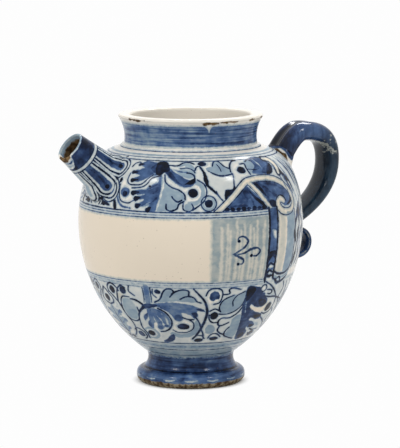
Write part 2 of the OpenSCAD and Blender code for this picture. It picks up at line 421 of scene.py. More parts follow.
def wash(p):
    """A thin uneven wash over the ground of the foliage, left off round the spots."""
    p.band("mist", 131, 171)
    p.band("mist", 21, 74)
    for centre in CREAM_SPOTS:
        p.dot("clear", centre, 13, 11)


def rings_of_the_belly(p):
    """Bands and lines that run right round above and below the foliage."""
    p.band("mist", 172.2, 174)
    p.band("pale", 176.6, 179.2)
    p.stroke("line", 1.0, (-5, 171.2), (60, 170.8), (120, 171.4), (185, 171))
    p.stroke("line", 0.7, (-5, 174.4), (90, 174.6), (185, 174.3))
    p.band("veil", 12, 19.6)
    p.band("veil", -5, 11)
    p.stroke("line", 1.0, (-5, 20.4), (90, 20.2), (185, 20.5))
    p.stroke("mid", 1.0, (-5, 15.6), (90, 15.9), (185, 15.4))
    p.draw("line", 0.9, ((-5, 11.4), (90, 11.2), (185, 11.6)), ((-5, 3.6), (90, 3.2), (185, 3.5)))


def upper_spray(p):
    """The spray right of the spout, above the label: a knot with four leaves."""
    p.fill("mid", (43, 163), (41, 169), (36, 169), (31, 170.3), (27.5, 168.5), (26, 166), (30, 163.3),
           (25.5, 161), (23.3, 158.8), (28.5, 156.8), (25.5, 154.8), (24.3, 152), (29, 152), (33.5, 155),
           (37, 158.5))
    p.fill("mid", (41.5, 157), (42.3, 150), (42, 143), (41, 136), (40, 131), (36.5, 130.8), (35.5, 132.5),
           (37.5, 137.5), (34, 134.8), (30.5, 133.2), (29.3, 134.8), (33.5, 139.3), (28.7, 138.3),
           (28, 140.5), (33.5, 143), (27, 142.2), (26.4, 144.5), (31, 146.5), (36, 146.8), (39, 150))
    p.draw("dark", (3.2, 1.0), ((26.3, 166.2), (29, 166.7)), ((23.9, 159), (27.5, 159.6)),
           ((24.7, 152.7), (28, 153.4)))
    p.draw("line", 1.0, ((21.3, 163.5), (22.3, 166.8), (24.8, 168.3), (27.3, 166.8)),
           ((22.2, 158), (21.6, 153), (23.2, 149.8), (27, 149.4), (31, 150.4), (34.5, 155), (37, 158)))
    p.draw("dark", (4.0, 1.2), ((26.7, 143.4), (30, 144.3)), ((28.6, 139.5), (31.5, 140.4)),
           ((30, 134.4), (31.8, 135.6)), ((36, 131.7), (37.5, 134)))
    p.draw("shade", (3.6, 2.0, 0.6), ((42, 166.5), (36, 166.5), (30, 167.8)),
           ((42, 163), (35, 161.5), (28, 160)), ((41, 160), (36.5, 157.5), (28.5, 153.5)),
           ((41.2, 155), (40.6, 144), (38.5, 132.5)), ((40, 150.5), (34, 146), (28.5, 144)),
           ((40.3, 146), (35.5, 141.5), (30.5, 139.8)), ((40.5, 141), (37, 136.5), (32, 134.6)))
    p.fill("deep", (43, 163), (41, 168), (37, 167.6), (34, 164), (35.5, 160.5), (39, 159))
    p.stroke("line", 1.1, (25.5, 147), (31, 148), (34, 150.5), (36, 154.5), (39, 156.4), (41.5, 157))
    p.dot("dark", (36, 149), 2.2, 1.8)
    p.fill("pale", (43, 157), (44.5, 152), (47.5, 148.5), (52, 146.3), (55, 143), (55, 139.5), (52, 137),
           (51.5, 133.5), (47, 131.5), (41, 131), (41.8, 137), (42.6, 150))
    p.stroke("clear", (0.8, 1.2, 0.4, 0.1), (43.2, 157), (43.2, 150), (42.6, 143), (41.6, 136))
    p.stroke("line", 1.2, (43.5, 158), (44.5, 152.5), (48, 148.7), (52, 146.7), (54.8, 143.5), (55.2, 140))
    p.draw("line", 1.3, ((48.3, 142), (49.5, 139.8), (51.5, 138.3), (53.5, 139.5)),
           ((45.5, 136.5), (45.8, 133), (48, 131.7), (51, 133.2), (52, 136.5), (54.5, 138.5)))
    p.fill("pale", (46, 165), (50, 165.5), (54, 168.5), (58, 168), (61, 163), (60.5, 157), (57, 155),
           (52, 158), (48, 162))
    p.stroke("clear", (0.8, 2.6, 0.8), (46.5, 164.5), (50.5, 163.5), (54.5, 165.5))
    p.stroke("mid", (0.6, 1.6, 0.5), (48, 162.5), (53, 160.5), (58, 161))
    p.stroke("line", 1.3, (45, 166.5), (50, 166.2), (53.5, 169), (57, 169.6), (60, 168))
    p.stroke("line", 1.1, (52, 163.5), (56, 164), (59, 162.5), (60.5, 160))
    p.stroke("line", 1.4, (56, 160), (58.5, 159.3), (60, 157.5), (60.3, 155))
    p.stroke("line", 1.2, (60.5, 162), (61.5, 165), (63.5, 165.5), (65.5, 160.5), (66, 155))
    p.stroke("mid", (5, 6.5, 7, 5.5, 2.5), (43.5, 163), (48.5, 157.3), (53, 153), (57, 151.5), (60, 153))
    p.stroke("deep", (4, 3.5, 1.6, 1), (43.5, 162.5), (47.5, 157.3), (52, 151.6), (57, 150))
    p.stroke("dark", (1, 3.5, 1.6), (55, 151), (58.8, 152.8), (60.3, 155))
    p.fill("dark", (37, 168), (39.5, 170.3), (43.5, 169.5), (45.5, 165), (46, 161), (43.5, 160),
           (41, 157.5), (38.5, 158), (37.3, 162))


def dots_of_the_upper_spray(p):
    """Spots in rings, and the small strokes between them."""
    p.stroke("pale", 3.4, (61, 152.5), (63.6, 150), (64.6, 145.5), (63.6, 140.5), (61, 137.5),
             (57.5, 137.3))
    p.draw("line", 1.1, ((61.5, 154.5), (65.2, 151), (66.4, 146), (65.2, 139.5), (62, 135.3), (59, 132.3)),
           ((-2, 136), (4, 138.5), (9, 139), (13, 144)))
    p.spots("dark", (59.2, 144.6, 7.2, 6.6), (67.2, 137, 5.8, 5.8), (65, 168, 6.2, 4.8),
            (21.5, 142.5, 4.6, 4.6))
    p.ring("pale", (67.2, 137), 9, 2.4)
    p.ring("line", (67.2, 137), 11, 1.0)
    p.dot("pale", (56.8, 134.3), 6, 6)
    p.draw("line", 1.0, ((54.2, 137.5), (54.4, 132.8), (57.5, 131.5), (59.3, 134), (58.5, 137)),
           ((17.3, 149), (17.8, 143), (19.5, 137.5), (24, 135.8), (27.5, 138)))
    p.stroke("dark", (0.8, 1.6, 3.2, 2, 1.6, 0.8), (63.2, 165), (65.6, 160), (66.4, 154), (67.2, 150),
             (70, 146.3), (73, 141.5))
    p.dot("mid", (21.5, 143.5), 8, 7.5)
    p.stroke("mid", 1.6, (16.8, 148), (17.4, 139), (20.3, 133.8), (26, 132.3))
    p.stroke("dark", (1, 3, 3), (13.8, 141), (15.5, 136), (16.3, 131.8))
    p.stroke("dark", (1, 3.4, 1), (3, 132.8), (8, 134.5), (12, 133))


def shoulder_leaves(p):
    """The pale leaf, the spots and the dark leaf above the strapwork."""
    p.fill("pale", (67, 164), (71, 166), (73, 170.5), (76.5, 169), (79, 165), (82, 162), (82, 158.5),
           (77, 157), (72, 158), (68, 160.5))
    p.fill("pale", (92.5, 169), (97, 170.5), (101, 168), (101, 160), (97, 156.8), (93.5, 157.5))
    p.draw("line", 1.2,
           ((71, 165.3), (72.3, 169.5), (74, 170.6), (76.2, 169.2), (78.3, 165.2), (81.5, 162.5)),
           ((82.3, 158), (82, 153), (81.6, 148)))
    p.draw("line", 1.0, ((74, 167.2), (75.2, 164), (75.6, 161)), ((71.5, 145.5), (73, 141.5), (74.5, 139)),
           ((93, 161.5), (98, 160.5), (101.5, 161)))
    p.stroke("line", (0.8, 1.8, 1.4), (68, 161.5), (72.5, 158), (77, 157), (82, 158.3))
    p.fill("dark", (75.8, 139.5), (76.5, 146.3), (80.5, 146.8), (82, 149.5), (82.3, 146), (78.5, 142.5))
    p.ring("mist", (88.5, 161.5), 13, 3)
    p.dot("dark", (88.5, 161), 7.4, 5.8)
    p.stroke("line", 1.3, (81.3, 160), (82, 165.5), (84.5, 169.5), (87.5, 170.5))
    p.stroke("line", 1.4, (89.5, 166.3), (92.5, 166.5), (92.3, 162), (93.5, 157))
    p.stroke("line", 1.1, (94, 168.5), (97, 170.3), (99, 168))
    p.fill("mid", (95, 158), (99, 164), (98, 171), (105, 173), (111, 168.5), (113, 162), (110, 157),
           (104, 155.8))
    p.fill("deep", (102, 157.5), (105, 161.5), (109, 163.5), (112, 166), (112.8, 162), (109.5, 157.5),
           (105, 156.2))
    p.stroke("clear", (0.2, 0.8, 0.2), (101, 170), (103, 165), (104, 160))
    p.fill("dark", (105.5, 155.6), (107, 160), (110, 163), (113.5, 165), (113, 160), (110, 156))


# The scrolled ribbon and the brace under it, with their widths and the dark outline that they leave
RIBBON = ((71, 130), (76, 136), (82, 143.5), (87, 149.7), (90.5, 152.2), (98, 153.4), (106, 152.6),
          (112, 150.4), (117, 146.8), (121, 141.8), (123.3, 136), (123, 131), (120.3, 127.6), (116, 126.6),
          (111.5, 128), (109, 131.8), (109.3, 135.3), (111.5, 136.6), (113.7, 134.8))
RIBBON_W = np.array([3.4, 4.0, 4.2, 3.6, 3.8, 4.8, 3.6])
RIBBON_LINE = 1.9
BRACE = ((90.5, 151.5), (96, 143), (102.6, 130.5))
BRACE_W = 3.4
BRACE_LINE = 1.4


def strapwork(p):
    """The scrolled ribbon and the upright bands at the label's end."""
    p.fill("mid", (74, 131.2), (88.7, 149.5), (102, 131.2), smooth=False)
    p.draw("shade", (2.5, 4.4, 3.2), ((88.6, 146), (88.5, 141), (88, 137)),
           ((89, 145), (91, 139), (92, 133.5)), ((90, 143), (95, 137), (99, 133)),
           ((77.5, 134), (83, 134.5), (88, 134)))
    p.fill("deep", (86, 143.5), (88.7, 148), (91.5, 143), (90, 138.5), (87.5, 139.5))
    p.stroke("dark", (0.6, 2.6, 3.0), (89.5, 146.5), (93, 140), (99.5, 132.6))
    for step, angle in enumerate(np.arange(76.5, 101, 3.1)):
        p.dot("dark", (angle, 132.2), 4.4, 3.0 + 0.8 * math.sin(3 * step))
    p.fill("mid", (92, 150.5), (100, 151.5), (110, 150), (117, 146), (121.5, 139), (121.5, 133), (118, 130.5),
           (114, 131), (107.5, 138), (106.8, 131), (102, 131), (97, 142), smooth=False)
    p.draw("shade", (4.0, 5.0, 3.0), ((93, 149.8), (98, 148.5), (103, 145)),
           ((96.5, 145), (100.5, 141), (104, 134)), ((100, 150), (108, 147.5), (114, 144)),
           ((104, 143), (107, 140), (110, 139.5)))
    p.stroke("dark", (1, 4, 1.6), (92.5, 149.6), (96, 147.5), (100.5, 140.5))
    p.fill("dark", (102, 132), (101.8, 135.5), (104, 137), (107, 135.5), (107.2, 131.4))
    p.stroke("dark", (0.6, 2, 2.8, 1), (118.5, 144.5), (121, 140), (120.6, 134), (116, 131.5))
    p.stroke("dark", 1.6, (108, 136.5), (110.5, 139), (114, 138), (116, 134.5))
    p.stroke("line", RIBBON_W + RIBBON_LINE, *RIBBON)
    p.stroke("line", BRACE_W + BRACE_LINE, *BRACE)
    for layer in ("clear", "warm"):
        p.stroke(layer, RIBBON_W, *RIBBON)
        p.stroke(layer, BRACE_W, *BRACE)
    p.band("mid", 80, 131, 101.2, 107.6)
    p.stroke("shade", (1, 3.4, 3), (104.4, 129), (104.4, 104), (104.4, 82))
    for angle, width in ((101.4, 2.2), (107.3, 1.8)):
        p.stroke("dark", width, (angle, 131), (angle - 0.3, 105), (angle - 0.2, 81))
    p.fill("dark", (102, 99), (106.5, 99), (106.8, 92), (104.5, 95), (102, 91.5))
    p.fill("clear", (103, 115), (105.7, 114), (106, 108.6), (104.2, 110))
    for low in (83, 88.5):
        p.dot("clear", (104.3, low), 6.4, 4.2)
        p.stroke("dark", (1.2, 2.2, 1), (101.6, low - 2), (103.5, low + 1.6), (106.8, low - 0.5))
    p.band("warm", 82, 126, 108, 115)
    p.band("pale", 81, 126.5, 115.2, 123.4)
    p.stroke("line", 1.3, (124, 127), (124.2, 105), (124, 87))
    p.stroke("line", 1.8, (107, 83.5), (112, 80.7), (118, 80.5), (122, 83), (124, 88))
    p.fill("pale", (108, 80), (113, 79), (119, 79), (123, 82.5), (122, 78.5), (115, 76), (109, 77))
    p.stroke("mist", 7, (111.5, 125), (111.5, 104), (111.5, 83))


# The lines above and below the label: the length along the profile and the width
LABEL_LINES = ((130.5, 1.0), (128.6, 0.5), (126.7, 0.7), (78.2, 0.5), (76.5, 0.25), (74.4, 0.3))
FLOURISH_ROOT = (79.5, 99.7)
FLOURISH = (((84, 102.7), (87, 106.5), (87.3, 110), (84.6, 112.5), (82.2, 111.3), (82.6, 109.2)),
            ((85, 99.9), (90, 103), (93.8, 103), (95.2, 100.4), (93, 97.4), (90, 98)),
            ((83, 97.5), (85.4, 95.2), (85, 92.4), (82.8, 92.2)))


def label(p):
    """The bare band for a name, its lines, the streaks at its end and the three-lobed flourish."""
    p.band("clear", LABEL_HIGH - 2, 130.8, 60, 78)
    p.band("warm", LABEL_LOW, LABEL_HIGH, -5, LABEL_END)
    p.band("veil", 74.2, 76.8)
    for high, width in LABEL_LINES:
        p.stroke("line", width, (-5, high), (50, high), (LABEL_END, high + 0.2))
    p.band("veil", LABEL_LOW - 1, LABEL_HIGH + 1, 68.2, LABEL_END)
    for step in range(11):
        angle = 73.6 + 2.5 * step + 0.6 * math.sin(2.3 * step)
        lean = angle + 0.4 * math.sin(3 * step)
        width = 0.45 + 0.5 * math.sin(4 * step + 1)
        high = 119.5 + 3.5 * math.sin(2.6 * step)
        p.stroke("clear", (0.1, 0.5 * width, width, 1.2 * width, 1.3 * width),
                 (angle, high), (lean, high - 7), (lean, 102), (angle, 91), (angle, 80.5))
    p.band("mist", LABEL_LOW - 1, LABEL_HIGH + 1, 69.5, LABEL_END)
    for curl in FLOURISH:
        p.stroke("deep", (1.0, 2.0, 1.4, 1.0), FLOURISH_ROOT, *curl)
        p.dot("dark", curl[-1], 2.6, 2.4)


def lower_spray(p):
    """The spray under the label: a stem, a knot and five leaves."""
    p.stroke("half", 4.6, (33, 74.5), (33, 66), (32.3, 60))
    p.draw("line", 0.9, ((30.7, 74), (30.8, 66), (30, 61)), ((35.4, 74), (35.3, 66), (35, 61.5)))
    p.fill("half", (36, 60), (42, 62), (50, 62.3), (58, 60.5), (63, 57.5), (66, 54.6), (62, 54.6),
           (62.6, 50.5), (60.5, 47.5), (58.5, 50), (55, 52.5), (52.5, 52.8), (53.5, 48), (51.5, 45),
           (48, 46), (46.5, 49.5), (44, 53.5), (40, 56.5))
    p.fill("half", (30.5, 55.5), (36, 56.3), (40.5, 54), (44, 49), (45, 43.5), (43, 38), (40.7, 41.3),
           (39.3, 37.5), (36.5, 35.5), (34.5, 38), (35.3, 43), (33, 42), (31, 36.5), (29, 37.5), (29.5, 42),
           (30, 46), (30.3, 50))
    p.draw("mid", (1.4, 0.8, 0.8, 1.6), ((38, 59.3), (47, 59), (58, 57.4), (64, 55.6)),
           ((39, 58), (47, 56.4), (55, 54.6), (61, 50.5)), ((40, 57), (46, 54), (50, 49.5), (51, 46.5)))
    p.fill("mid", (50, 52.3), (53.3, 49), (51.5, 45.2), (48.3, 46.2), (47.5, 49.3))
    p.fill("deep", (58, 53), (61.5, 54), (62.3, 50.5), (60.5, 47.8), (59, 50.5))
    p.stroke("deep", (0.8, 2.4, 0.8), (60, 57.2), (64, 55.8), (66.5, 54.3))
    p.stroke("line", 1.2, (53, 48.8), (56, 47.2), (60, 46.8))
    p.fill("pale", (38, 61.8), (42, 67), (43.5, 73), (47, 74), (49.5, 71), (52, 73), (56.5, 73), (58, 69),
           (62, 65), (60, 62.5), (50, 63.2))
    p.draw("line", 1.3,
           ((37, 62), (40.5, 65), (42.5, 70.5), (44.5, 73.4), (47.3, 73.5), (48.5, 71), (46.3, 67)),
           ((52, 65.3), (55.5, 67.6), (59.5, 66.8), (61.5, 63.5), (63.8, 62)))
    p.stroke("line", 1.4, (47.5, 69.5), (50.5, 72), (54, 73.2), (56.8, 72), (56.8, 68.2))
    p.draw("mid", (1.4, 0.7, 1.2), ((33, 55), (31.5, 48), (30, 40)), ((35, 55), (36.5, 47), (36.5, 40)),
           ((37.5, 55), (41, 50), (42.6, 42)))
    p.draw("clear", (0.1, 0.7, 1.4), ((33.5, 49), (34.4, 43), (33.4, 36)),
           ((36, 50.5), (38.8, 45), (39.6, 40.5)), ((39.5, 52), (42, 47.5), (42.6, 42)))
    p.spots("mid", (36.8, 38, 4.4, 4.6), (41.4, 40, 3.4, 3.4))
    p.stroke("line", 1.4, (38, 56.5), (42, 53.5), (45, 48), (45.5, 42.5), (43.5, 37.5), (40, 34.5),
             (36, 33.5))
    p.stroke("mid", (1, 3.6, 1.2), (30.3, 51.5), (28, 47.5), (27, 44.5))
    p.stroke("mid", (1, 3.4, 1.2), (30.5, 45), (29.6, 41), (29.4, 38))
    p.fill("veil", (17, 64.5), (20.5, 64), (23.5, 58.5), (24, 51), (21, 44), (16, 43.5), (12.5, 48),
           (12.3, 56), (14, 62))
    p.fill("pale", (13.5, 52), (17, 53.6), (22.5, 54), (23, 49), (20.5, 44.5), (16, 44.4), (13.2, 48))
    p.stroke("line", 1.1, (24, 56), (24, 50.5), (21, 43.5), (15.7, 43), (12.2, 48), (12, 57), (15, 64),
             (20.5, 64.5))
    p.stroke("line", (2.6, 1.4, 1), (29, 57), (25.5, 53), (23, 48), (22, 42))
    p.stroke("line", (2.2, 1.2), (28.5, 59.3), (24.5, 62.5), (21, 63))
    p.fill("deep", (27.5, 57.5), (30, 60.2), (35, 60.6), (38.5, 59), (35, 57), (31, 55.5), (28.6, 55.5))


def dots_of_the_lower_spray(p):
    """The vine right of the spray, with spots in rings."""
    p.stroke("line", (1.2, 1.6, 2.2, 2.2, 1.8, 1.4), (59.5, 74), (63, 68.5), (66.3, 62.5), (68, 54),
             (67.2, 46), (65.3, 38), (62.5, 31), (59.5, 26))
    p.draw("line", 1.2, ((60.5, 50), (63.5, 44), (65, 38)), ((64.5, 38), (66.7, 33), (68, 26.5)))
    p.stroke("pale", 4.8, (62.2, 44), (62, 37), (57.5, 31), (50, 29.6), (45, 31.5))
    p.draw("line", 1.0, ((56.5, 47), (59.8, 43.5), (59.6, 37.5), (55.5, 33.8), (49, 33.4), (45.5, 36)),
           ((59.5, 27), (62, 29.8), (66, 29.8), (69, 26.5)), ((36.8, 73), (36.5, 69), (38.5, 66)))
    p.spots("dark", (53, 39.8, 8.6, 6.2), (27.3, 31, 6, 6), (64.3, 24.5, 6.4, 4.6), (39.5, 71, 4.8, 3.6))
    p.ring("pale", (27.3, 31), 11, 2.6)
    p.stroke("deep", (0.8, 5, 4, 2), (45, 31), (43.2, 27), (40, 23.5), (36, 22))
    p.dot("deep", (16.5, 28.5), 6, 6.4)
    for centre, wide in (((0, 60.8), 11), ((8.3, 69), 9.5)):
        p.dot("clear", centre, wide, 9)
        p.dot("dark", centre, 5.8, 6.2)
    p.spots("dark", (17, 69.6, 6, 6), (3, 24, 5, 3.6))
    p.fill("warm", (11, 62.5), (12.5, 67), (16, 66.5), (16.5, 63))
    p.stroke("veil", (1, 3, 1), (5.5, 61), (7.5, 56.5), (5, 52.5))
    p.stroke("line", (1.0, 1.5, 1.3, 1.1), (4.2, 67.5), (5.6, 65.4), (8, 62), (10.5, 57.5), (11.5, 51),
             (13.2, 44.5), (14.6, 40), (14, 34), (11, 29), (7, 25.5))
    p.draw("line", 1.3, ((4.2, 66.5), (4.6, 71.5), (8, 74.3), (11.5, 72.3), (13.5, 69)),
           ((10.2, 60), (11.5, 66), (13.5, 71), (16.5, 73.5), (19, 72)),
           ((22, 74), (21.3, 69.5), (24.5, 66.3)), ((0, 55), (4.6, 57.2), (5.4, 61), (3, 65.5), (0, 70)),
           ((12, 32.5), (15.5, 34.8), (20, 32), (21, 26.5), (18, 23.5)),
           ((22, 41.5), (21.3, 36), (23.3, 30), (22.6, 25)))


def leaf_under_the_spout(p):
    """The upright leaf in the plane through spout and handle, under the label."""
    lobes = ((8.2, 49.5), (9.2, 41.5), (7.6, 33.5))
    p.fill("pale", (-5, 26.5), (2.5, 27.5), (5, 30.5), lobes[2], (6, 37), lobes[1], (6.2, 45), lobes[0],
           (3.5, 51.5), (0, 55), (-5, 51.5))
    for side, height in lobes:
        p.stroke("half", (0.8, 2.0, 3.4), (0, height - 6), (0.5 * side, height - 2), (0.9 * side, height))
        p.stroke("clear", (0.2, 1.0), (0.35 * side, height - 5.4), (side, height - 4.2))
    p.stroke("line", (1.6, 1.2, 0.8), (0, 26), (0, 40), (0, 53))


def right_of_the_lower_spray(p):
    """The spots and the pale leaf between the spray and the hanging leaf."""
    p.dot("deep", (71.5, 67.3), 7.5, 8.6)
    p.dot("clear", (73.2, 63), 4, 4.4)
    p.draw("line", 1.2,
           ((66.5, 68), (68, 72.5), (71.5, 74), (75, 72.5), (76, 68), (74.8, 62), (71.5, 60.5)),
           ((69.7, 54.5), (72.8, 56.3), (76, 54)), ((69.4, 51), (70, 46.5), (72.5, 43.5), (75.8, 43.3)),
           ((71.5, 26.5), (73.5, 30.8), (77.5, 31.3), (81.5, 27.5)),
           ((76.5, 53.5), (75.2, 57), (76, 62), (79, 65.5), (83, 67.5)),
           ((91, 65), (89.5, 58), (85.5, 53), (80.5, 51), (75.5, 51.5)),
           ((76, 68.5), (80, 69), (79.5, 72.5), (82, 73.5), (86.5, 72)))
    p.spots("dark", (72.7, 50, 6.2, 7.2), (76.3, 26, 7, 4.4))
    p.fill("pale", (70.5, 41.5), (74.5, 39.5), (75.5, 34), (71.5, 31), (68.5, 33), (68, 38))
    p.fill("pale", (75.5, 53), (76, 61.5), (80, 66.5), (85.5, 68.5), (90.5, 71), (91.5, 63), (88.5, 55.5),
           (83, 51.5))
    p.fill("pale", (86, 46), (91, 50), (93, 42), (95, 30), (93, 24.5), (88, 26), (84.5, 30), (86, 38))
    p.stroke("line", 1.1, (83.8, 58), (83, 62.5), (85, 67), (89.5, 70))
    p.stroke("line", 1.4, (91, 58), (88.5, 51.5), (83.5, 47.3), (78.5, 47.3), (76.3, 44.5), (77, 40.5),
             (80, 40), (84, 42.5))
    p.draw("line", 1.3, ((78, 39.5), (77.5, 35), (80.5, 31.5), (83.5, 30)),
           ((86, 37.5), (84, 34), (84.3, 29), (88, 26.5), (94, 24)))


def hanging_leaf(p):
    """The large dark leaf that hangs under the label's end."""
    for layer in ("clear", "warm"):
        p.stroke(layer, (2.4, 5, 9, 6), (97, 54.5), (104, 52), (112, 53), (117, 50))
    p.fill("deep", (90.7, 73.5), (96, 73.3), (100, 71.5), (101.5, 68.3), (105, 66.3), (105.8, 62.8),
           (109, 61), (110.2, 57), (108, 54.2), (103.5, 54.2), (99.5, 55.8), (96.8, 57.8), (96, 55),
           (98, 52.5), (102, 50.3), (106, 48.8), (110.5, 47), (112, 44.5), (110, 41.8), (105.5, 43),
           (101.5, 44.5), (101, 42.5), (105, 40.5), (109.5, 37), (108.5, 34), (104.5, 34.3), (101, 36.3),
           (100.5, 34), (104, 32), (106.3, 28), (104.5, 23.5), (100.5, 21.5), (97, 23.5), (95.5, 30),
           (94.5, 38), (92.8, 47), (90.5, 56), (90.3, 65))
    for width, way in (((5, 8, 9, 5), ((94, 70), (99, 65.5), (104, 60.5), (108.3, 57.6))),
                       ((4, 4.5, 4.5, 3.5), ((93.5, 58), (96, 52.5), (103, 47.5), (110, 44.8))),
                       ((3, 4, 4, 3), ((91.8, 60), (92.6, 53), (94.5, 44), (96.3, 34), (98, 26))),
                       ((2.5, 4, 3.5), ((98, 41), (103, 38), (108.5, 35.8))),
                       ((5, 7, 5), ((97.5, 32), (100.5, 28), (103.5, 25))),
                       ((3, 5, 5), ((97, 47), (98.6, 40), (100, 33)))):
        p.stroke("deep", width, *way)
    p.fill("dark", (91, 73.3), (95.8, 73), (97, 69.5), (95, 64.5), (92, 60.5), (91, 66))
    p.fill("dark", (101.5, 60.5), (106, 61), (109.6, 58.5), (109.3, 55.6), (104.5, 54.8))
    p.fill("dark", (103, 46.8), (110.5, 46.4), (111.4, 44), (106, 43.4))
    p.fill("dark", (103.5, 38), (108.5, 36.8), (107.5, 34.4), (104, 35))
    p.fill("dark", (98, 25), (101.5, 30), (105.3, 27), (103.5, 23.3), (100, 22.2))
    p.stroke("clear", (0.1, 0.6, 0.2), (92.2, 61), (93.4, 54), (95.4, 48))
    p.dot("dark", (114.5, 52.5), 7.2, 8)
    p.dot("clear", (102.8, 70.6), 5.4, 5)
    p.ring("line", (102.8, 70.6), 5.6, 1.1)
    p.stroke("veil", 2.4, (106, 65.5), (110, 63.8), (116, 63))
    p.draw("line", (1.1, 1.6, 1.1),
           ((103, 75.8), (108, 72.3), (112, 68.5), (115.5, 64.5), (118.5, 60.5), (120.5, 55)),
           ((106, 69), (109.5, 68.2), (111.3, 66.2), (110, 64.8), (107.5, 65.4)),
           ((105, 64), (110, 62.3), (116, 61.3), (121, 59.5), (127, 57.5)),
           ((110, 47.8), (115, 46.4), (119.5, 48.5), (120.5, 55)),
           ((112, 43.5), (117, 40), (122, 36), (125, 31)), ((107, 33), (112, 30.7), (119, 30.5)),
           ((109, 28), (113, 24.6), (119, 26)), ((121, 73), (124, 67), (122.6, 60), (127, 53)),
           ((126, 72), (129, 63), (127, 54), (131, 45)), ((122, 50), (125.5, 45), (123.5, 40), (127, 35)),
           ((129, 41), (131.5, 35), (128, 28)))
    p.stroke("veil", (1, 4, 1), (106, 40), (112, 37), (118, 32.5))
    p.dot("dark", (114, 27.4), 6.4, 4.2)
    p.draw("dark", (2.2, 2.6, 1.4), ((101.4, 84), (101.3, 79), (102, 75.5)),
           ((107, 84), (107.3, 80), (108.8, 77)), ((101.5, 81), (104, 80), (107, 80.5)),
           ((110, 76.7), (113, 73.6), (118, 74.6), (122, 78)))
    p.ring("dark", (113.2, 75.4), 5.2, 1.5)


def handle_side(p):
    """Loose strokes that run down under the handle, and the loop and spots that close the foliage there."""
    for step, angle in enumerate(np.arange(126, 184, 4.4)):
        sway = 1.8 * math.sin(2.1 * step + 1)
        high, low = 131 + 4 * math.sin(1.7 * step), 84 + 4 * math.sin(2.9 * step)
        way = ((angle + 5, high), (angle + sway, 123), (angle - sway, 115), (angle - 2, 108),
               (angle + sway, 100), (angle + 2 - sway, 91), (angle - 1, low))
        p.stroke("veil", (0.6, 1.6, 1.0, 1.4), *moved(way, 2.2))
        p.stroke(("dark", "line", "deep")[step % 3], (1.0, 4.4, 2.0, 4.2, 1.4, 3.8, 1.0), *way)
    for step, angle in enumerate(np.arange(112, 182, 4.0)):
        high = 168 - 3 * math.sin(1.3 * step)
        way = ((angle, high), (angle + 3, high - 11), (angle + 7.5, high - 24), (angle + 10.5, high - 36))
        p.stroke("veil", (1, 2.0, 1.4, 1), *moved(way, 1.7))
        p.stroke("mid", (0.5, 1.5, 1.2, 0.5), *way)
        if step % 2:
            p.stroke("line", (0.5, 2.2, 0.8), *moved(way[:3], 2.4, -3))
    p.stroke("dark", (1.0, 3.4, 2.2, 0.8), (115, 157.5), (119.5, 155), (125, 147.5), (127, 140))
    p.stroke("line", (1.0, 1.8, 1.2), (131, 74), (136.5, 66), (135, 56), (138.5, 46), (135.5, 34), (139, 23))
    for centre in ((132.5, 58), (140.5, 62), (131.5, 31), (142, 34)):
        p.dot("clear", centre, 11, 9)
        p.dot("dark", centre, 5.8, 5.6)
        p.ring("line", centre, 10, 1.0)
    loop = ((111, 169.5), (115.5, 167.5), (117.5, 161.5), (116.5, 156))
    p.stroke("line", 6.4, *loop)
    for layer in ("clear", "warm"):
        p.stroke(layer, (3, 4.4, 4.2, 3), *loop)


def paint_belly(p, points):
    """All the ornament of the belly."""
    for paint in (wash, rings_of_the_belly, upper_spray, dots_of_the_upper_spray, shoulder_leaves, strapwork,
                  label, lower_spray, dots_of_the_lower_spray, leaf_under_the_spout,
                  right_of_the_lower_spray, hanging_leaf, handle_side):
        paint(p)
    p.shift = NEXT_SPRAY
    lower_spray(p)
    paint_round_spout(p, points)


# Materials

def srgb(*levels):
    """Linear colour from levels of 0 to 255, with alpha."""
    parts = [v / 255 for v in levels]
    return tuple(c / 12.92 if c <= 0.04045 else ((c + 0.055) / 1.055) ** 2.4 for c in parts) + (1.0,)


GROUND = srgb(238, 232, 221)
WARM_TINT = srgb(255, 247, 236)
CLAY = srgb(128, 104, 72)
CLAY_DARK = srgb(74, 56, 36)
FOOT_CLAY = srgb(164, 150, 122)
# Pale colour of the crease inside the handle's bend, and of the painted highlight along the curl's edge
CREASE_AND_HIGHLIGHT = srgb(176, 178, 168)
# Colours of the blue by how dense it lies, on the cream ground and where it turns green on the handle
PIGMENT = ((0.0, GROUND), (0.1, srgb(214, 216, 211)), (0.25, srgb(150, 169, 180)), (0.5, srgb(76, 104, 146)),
           (0.7, srgb(37, 58, 96)), (0.86, srgb(13, 27, 54)), (1.0, srgb(4, 11, 26)))
GREENISH = ((0.55, srgb(36, 56, 68)), (0.75, srgb(15, 28, 38)), (1.0, srgb(4, 10, 16)))
# Each paint's layer, how dense it is, how soft its edge is in mm and how far its edge wanders
DENSITY = (("mist", 0.12, 3.0, 2.5), ("veil", 0.24, 3.0, 1.8), ("pale", 0.28, 1.0, 1.0),
           ("half", 0.46, 0.8, 1.0), ("mid", 0.58, 0.8, 1.0), ("shade", 0.7, 3.2, 2.0),
           ("deep", 0.72, 0.8, 1.0), ("dark", 0.95, 0.6, 0.8), ("line", 0.86, 0.55, 0.45))
# Layers whose paint bleeds into the glaze round them, how densely and how far
BLEEDING = ("line", "mid", "dark")
BLEED, BLEED_FAR, BLEED_NEAR = 0.18, 2.4, 0.2
PAINT_GLOSS, DARK_GLOSS = 0.13, 0.25


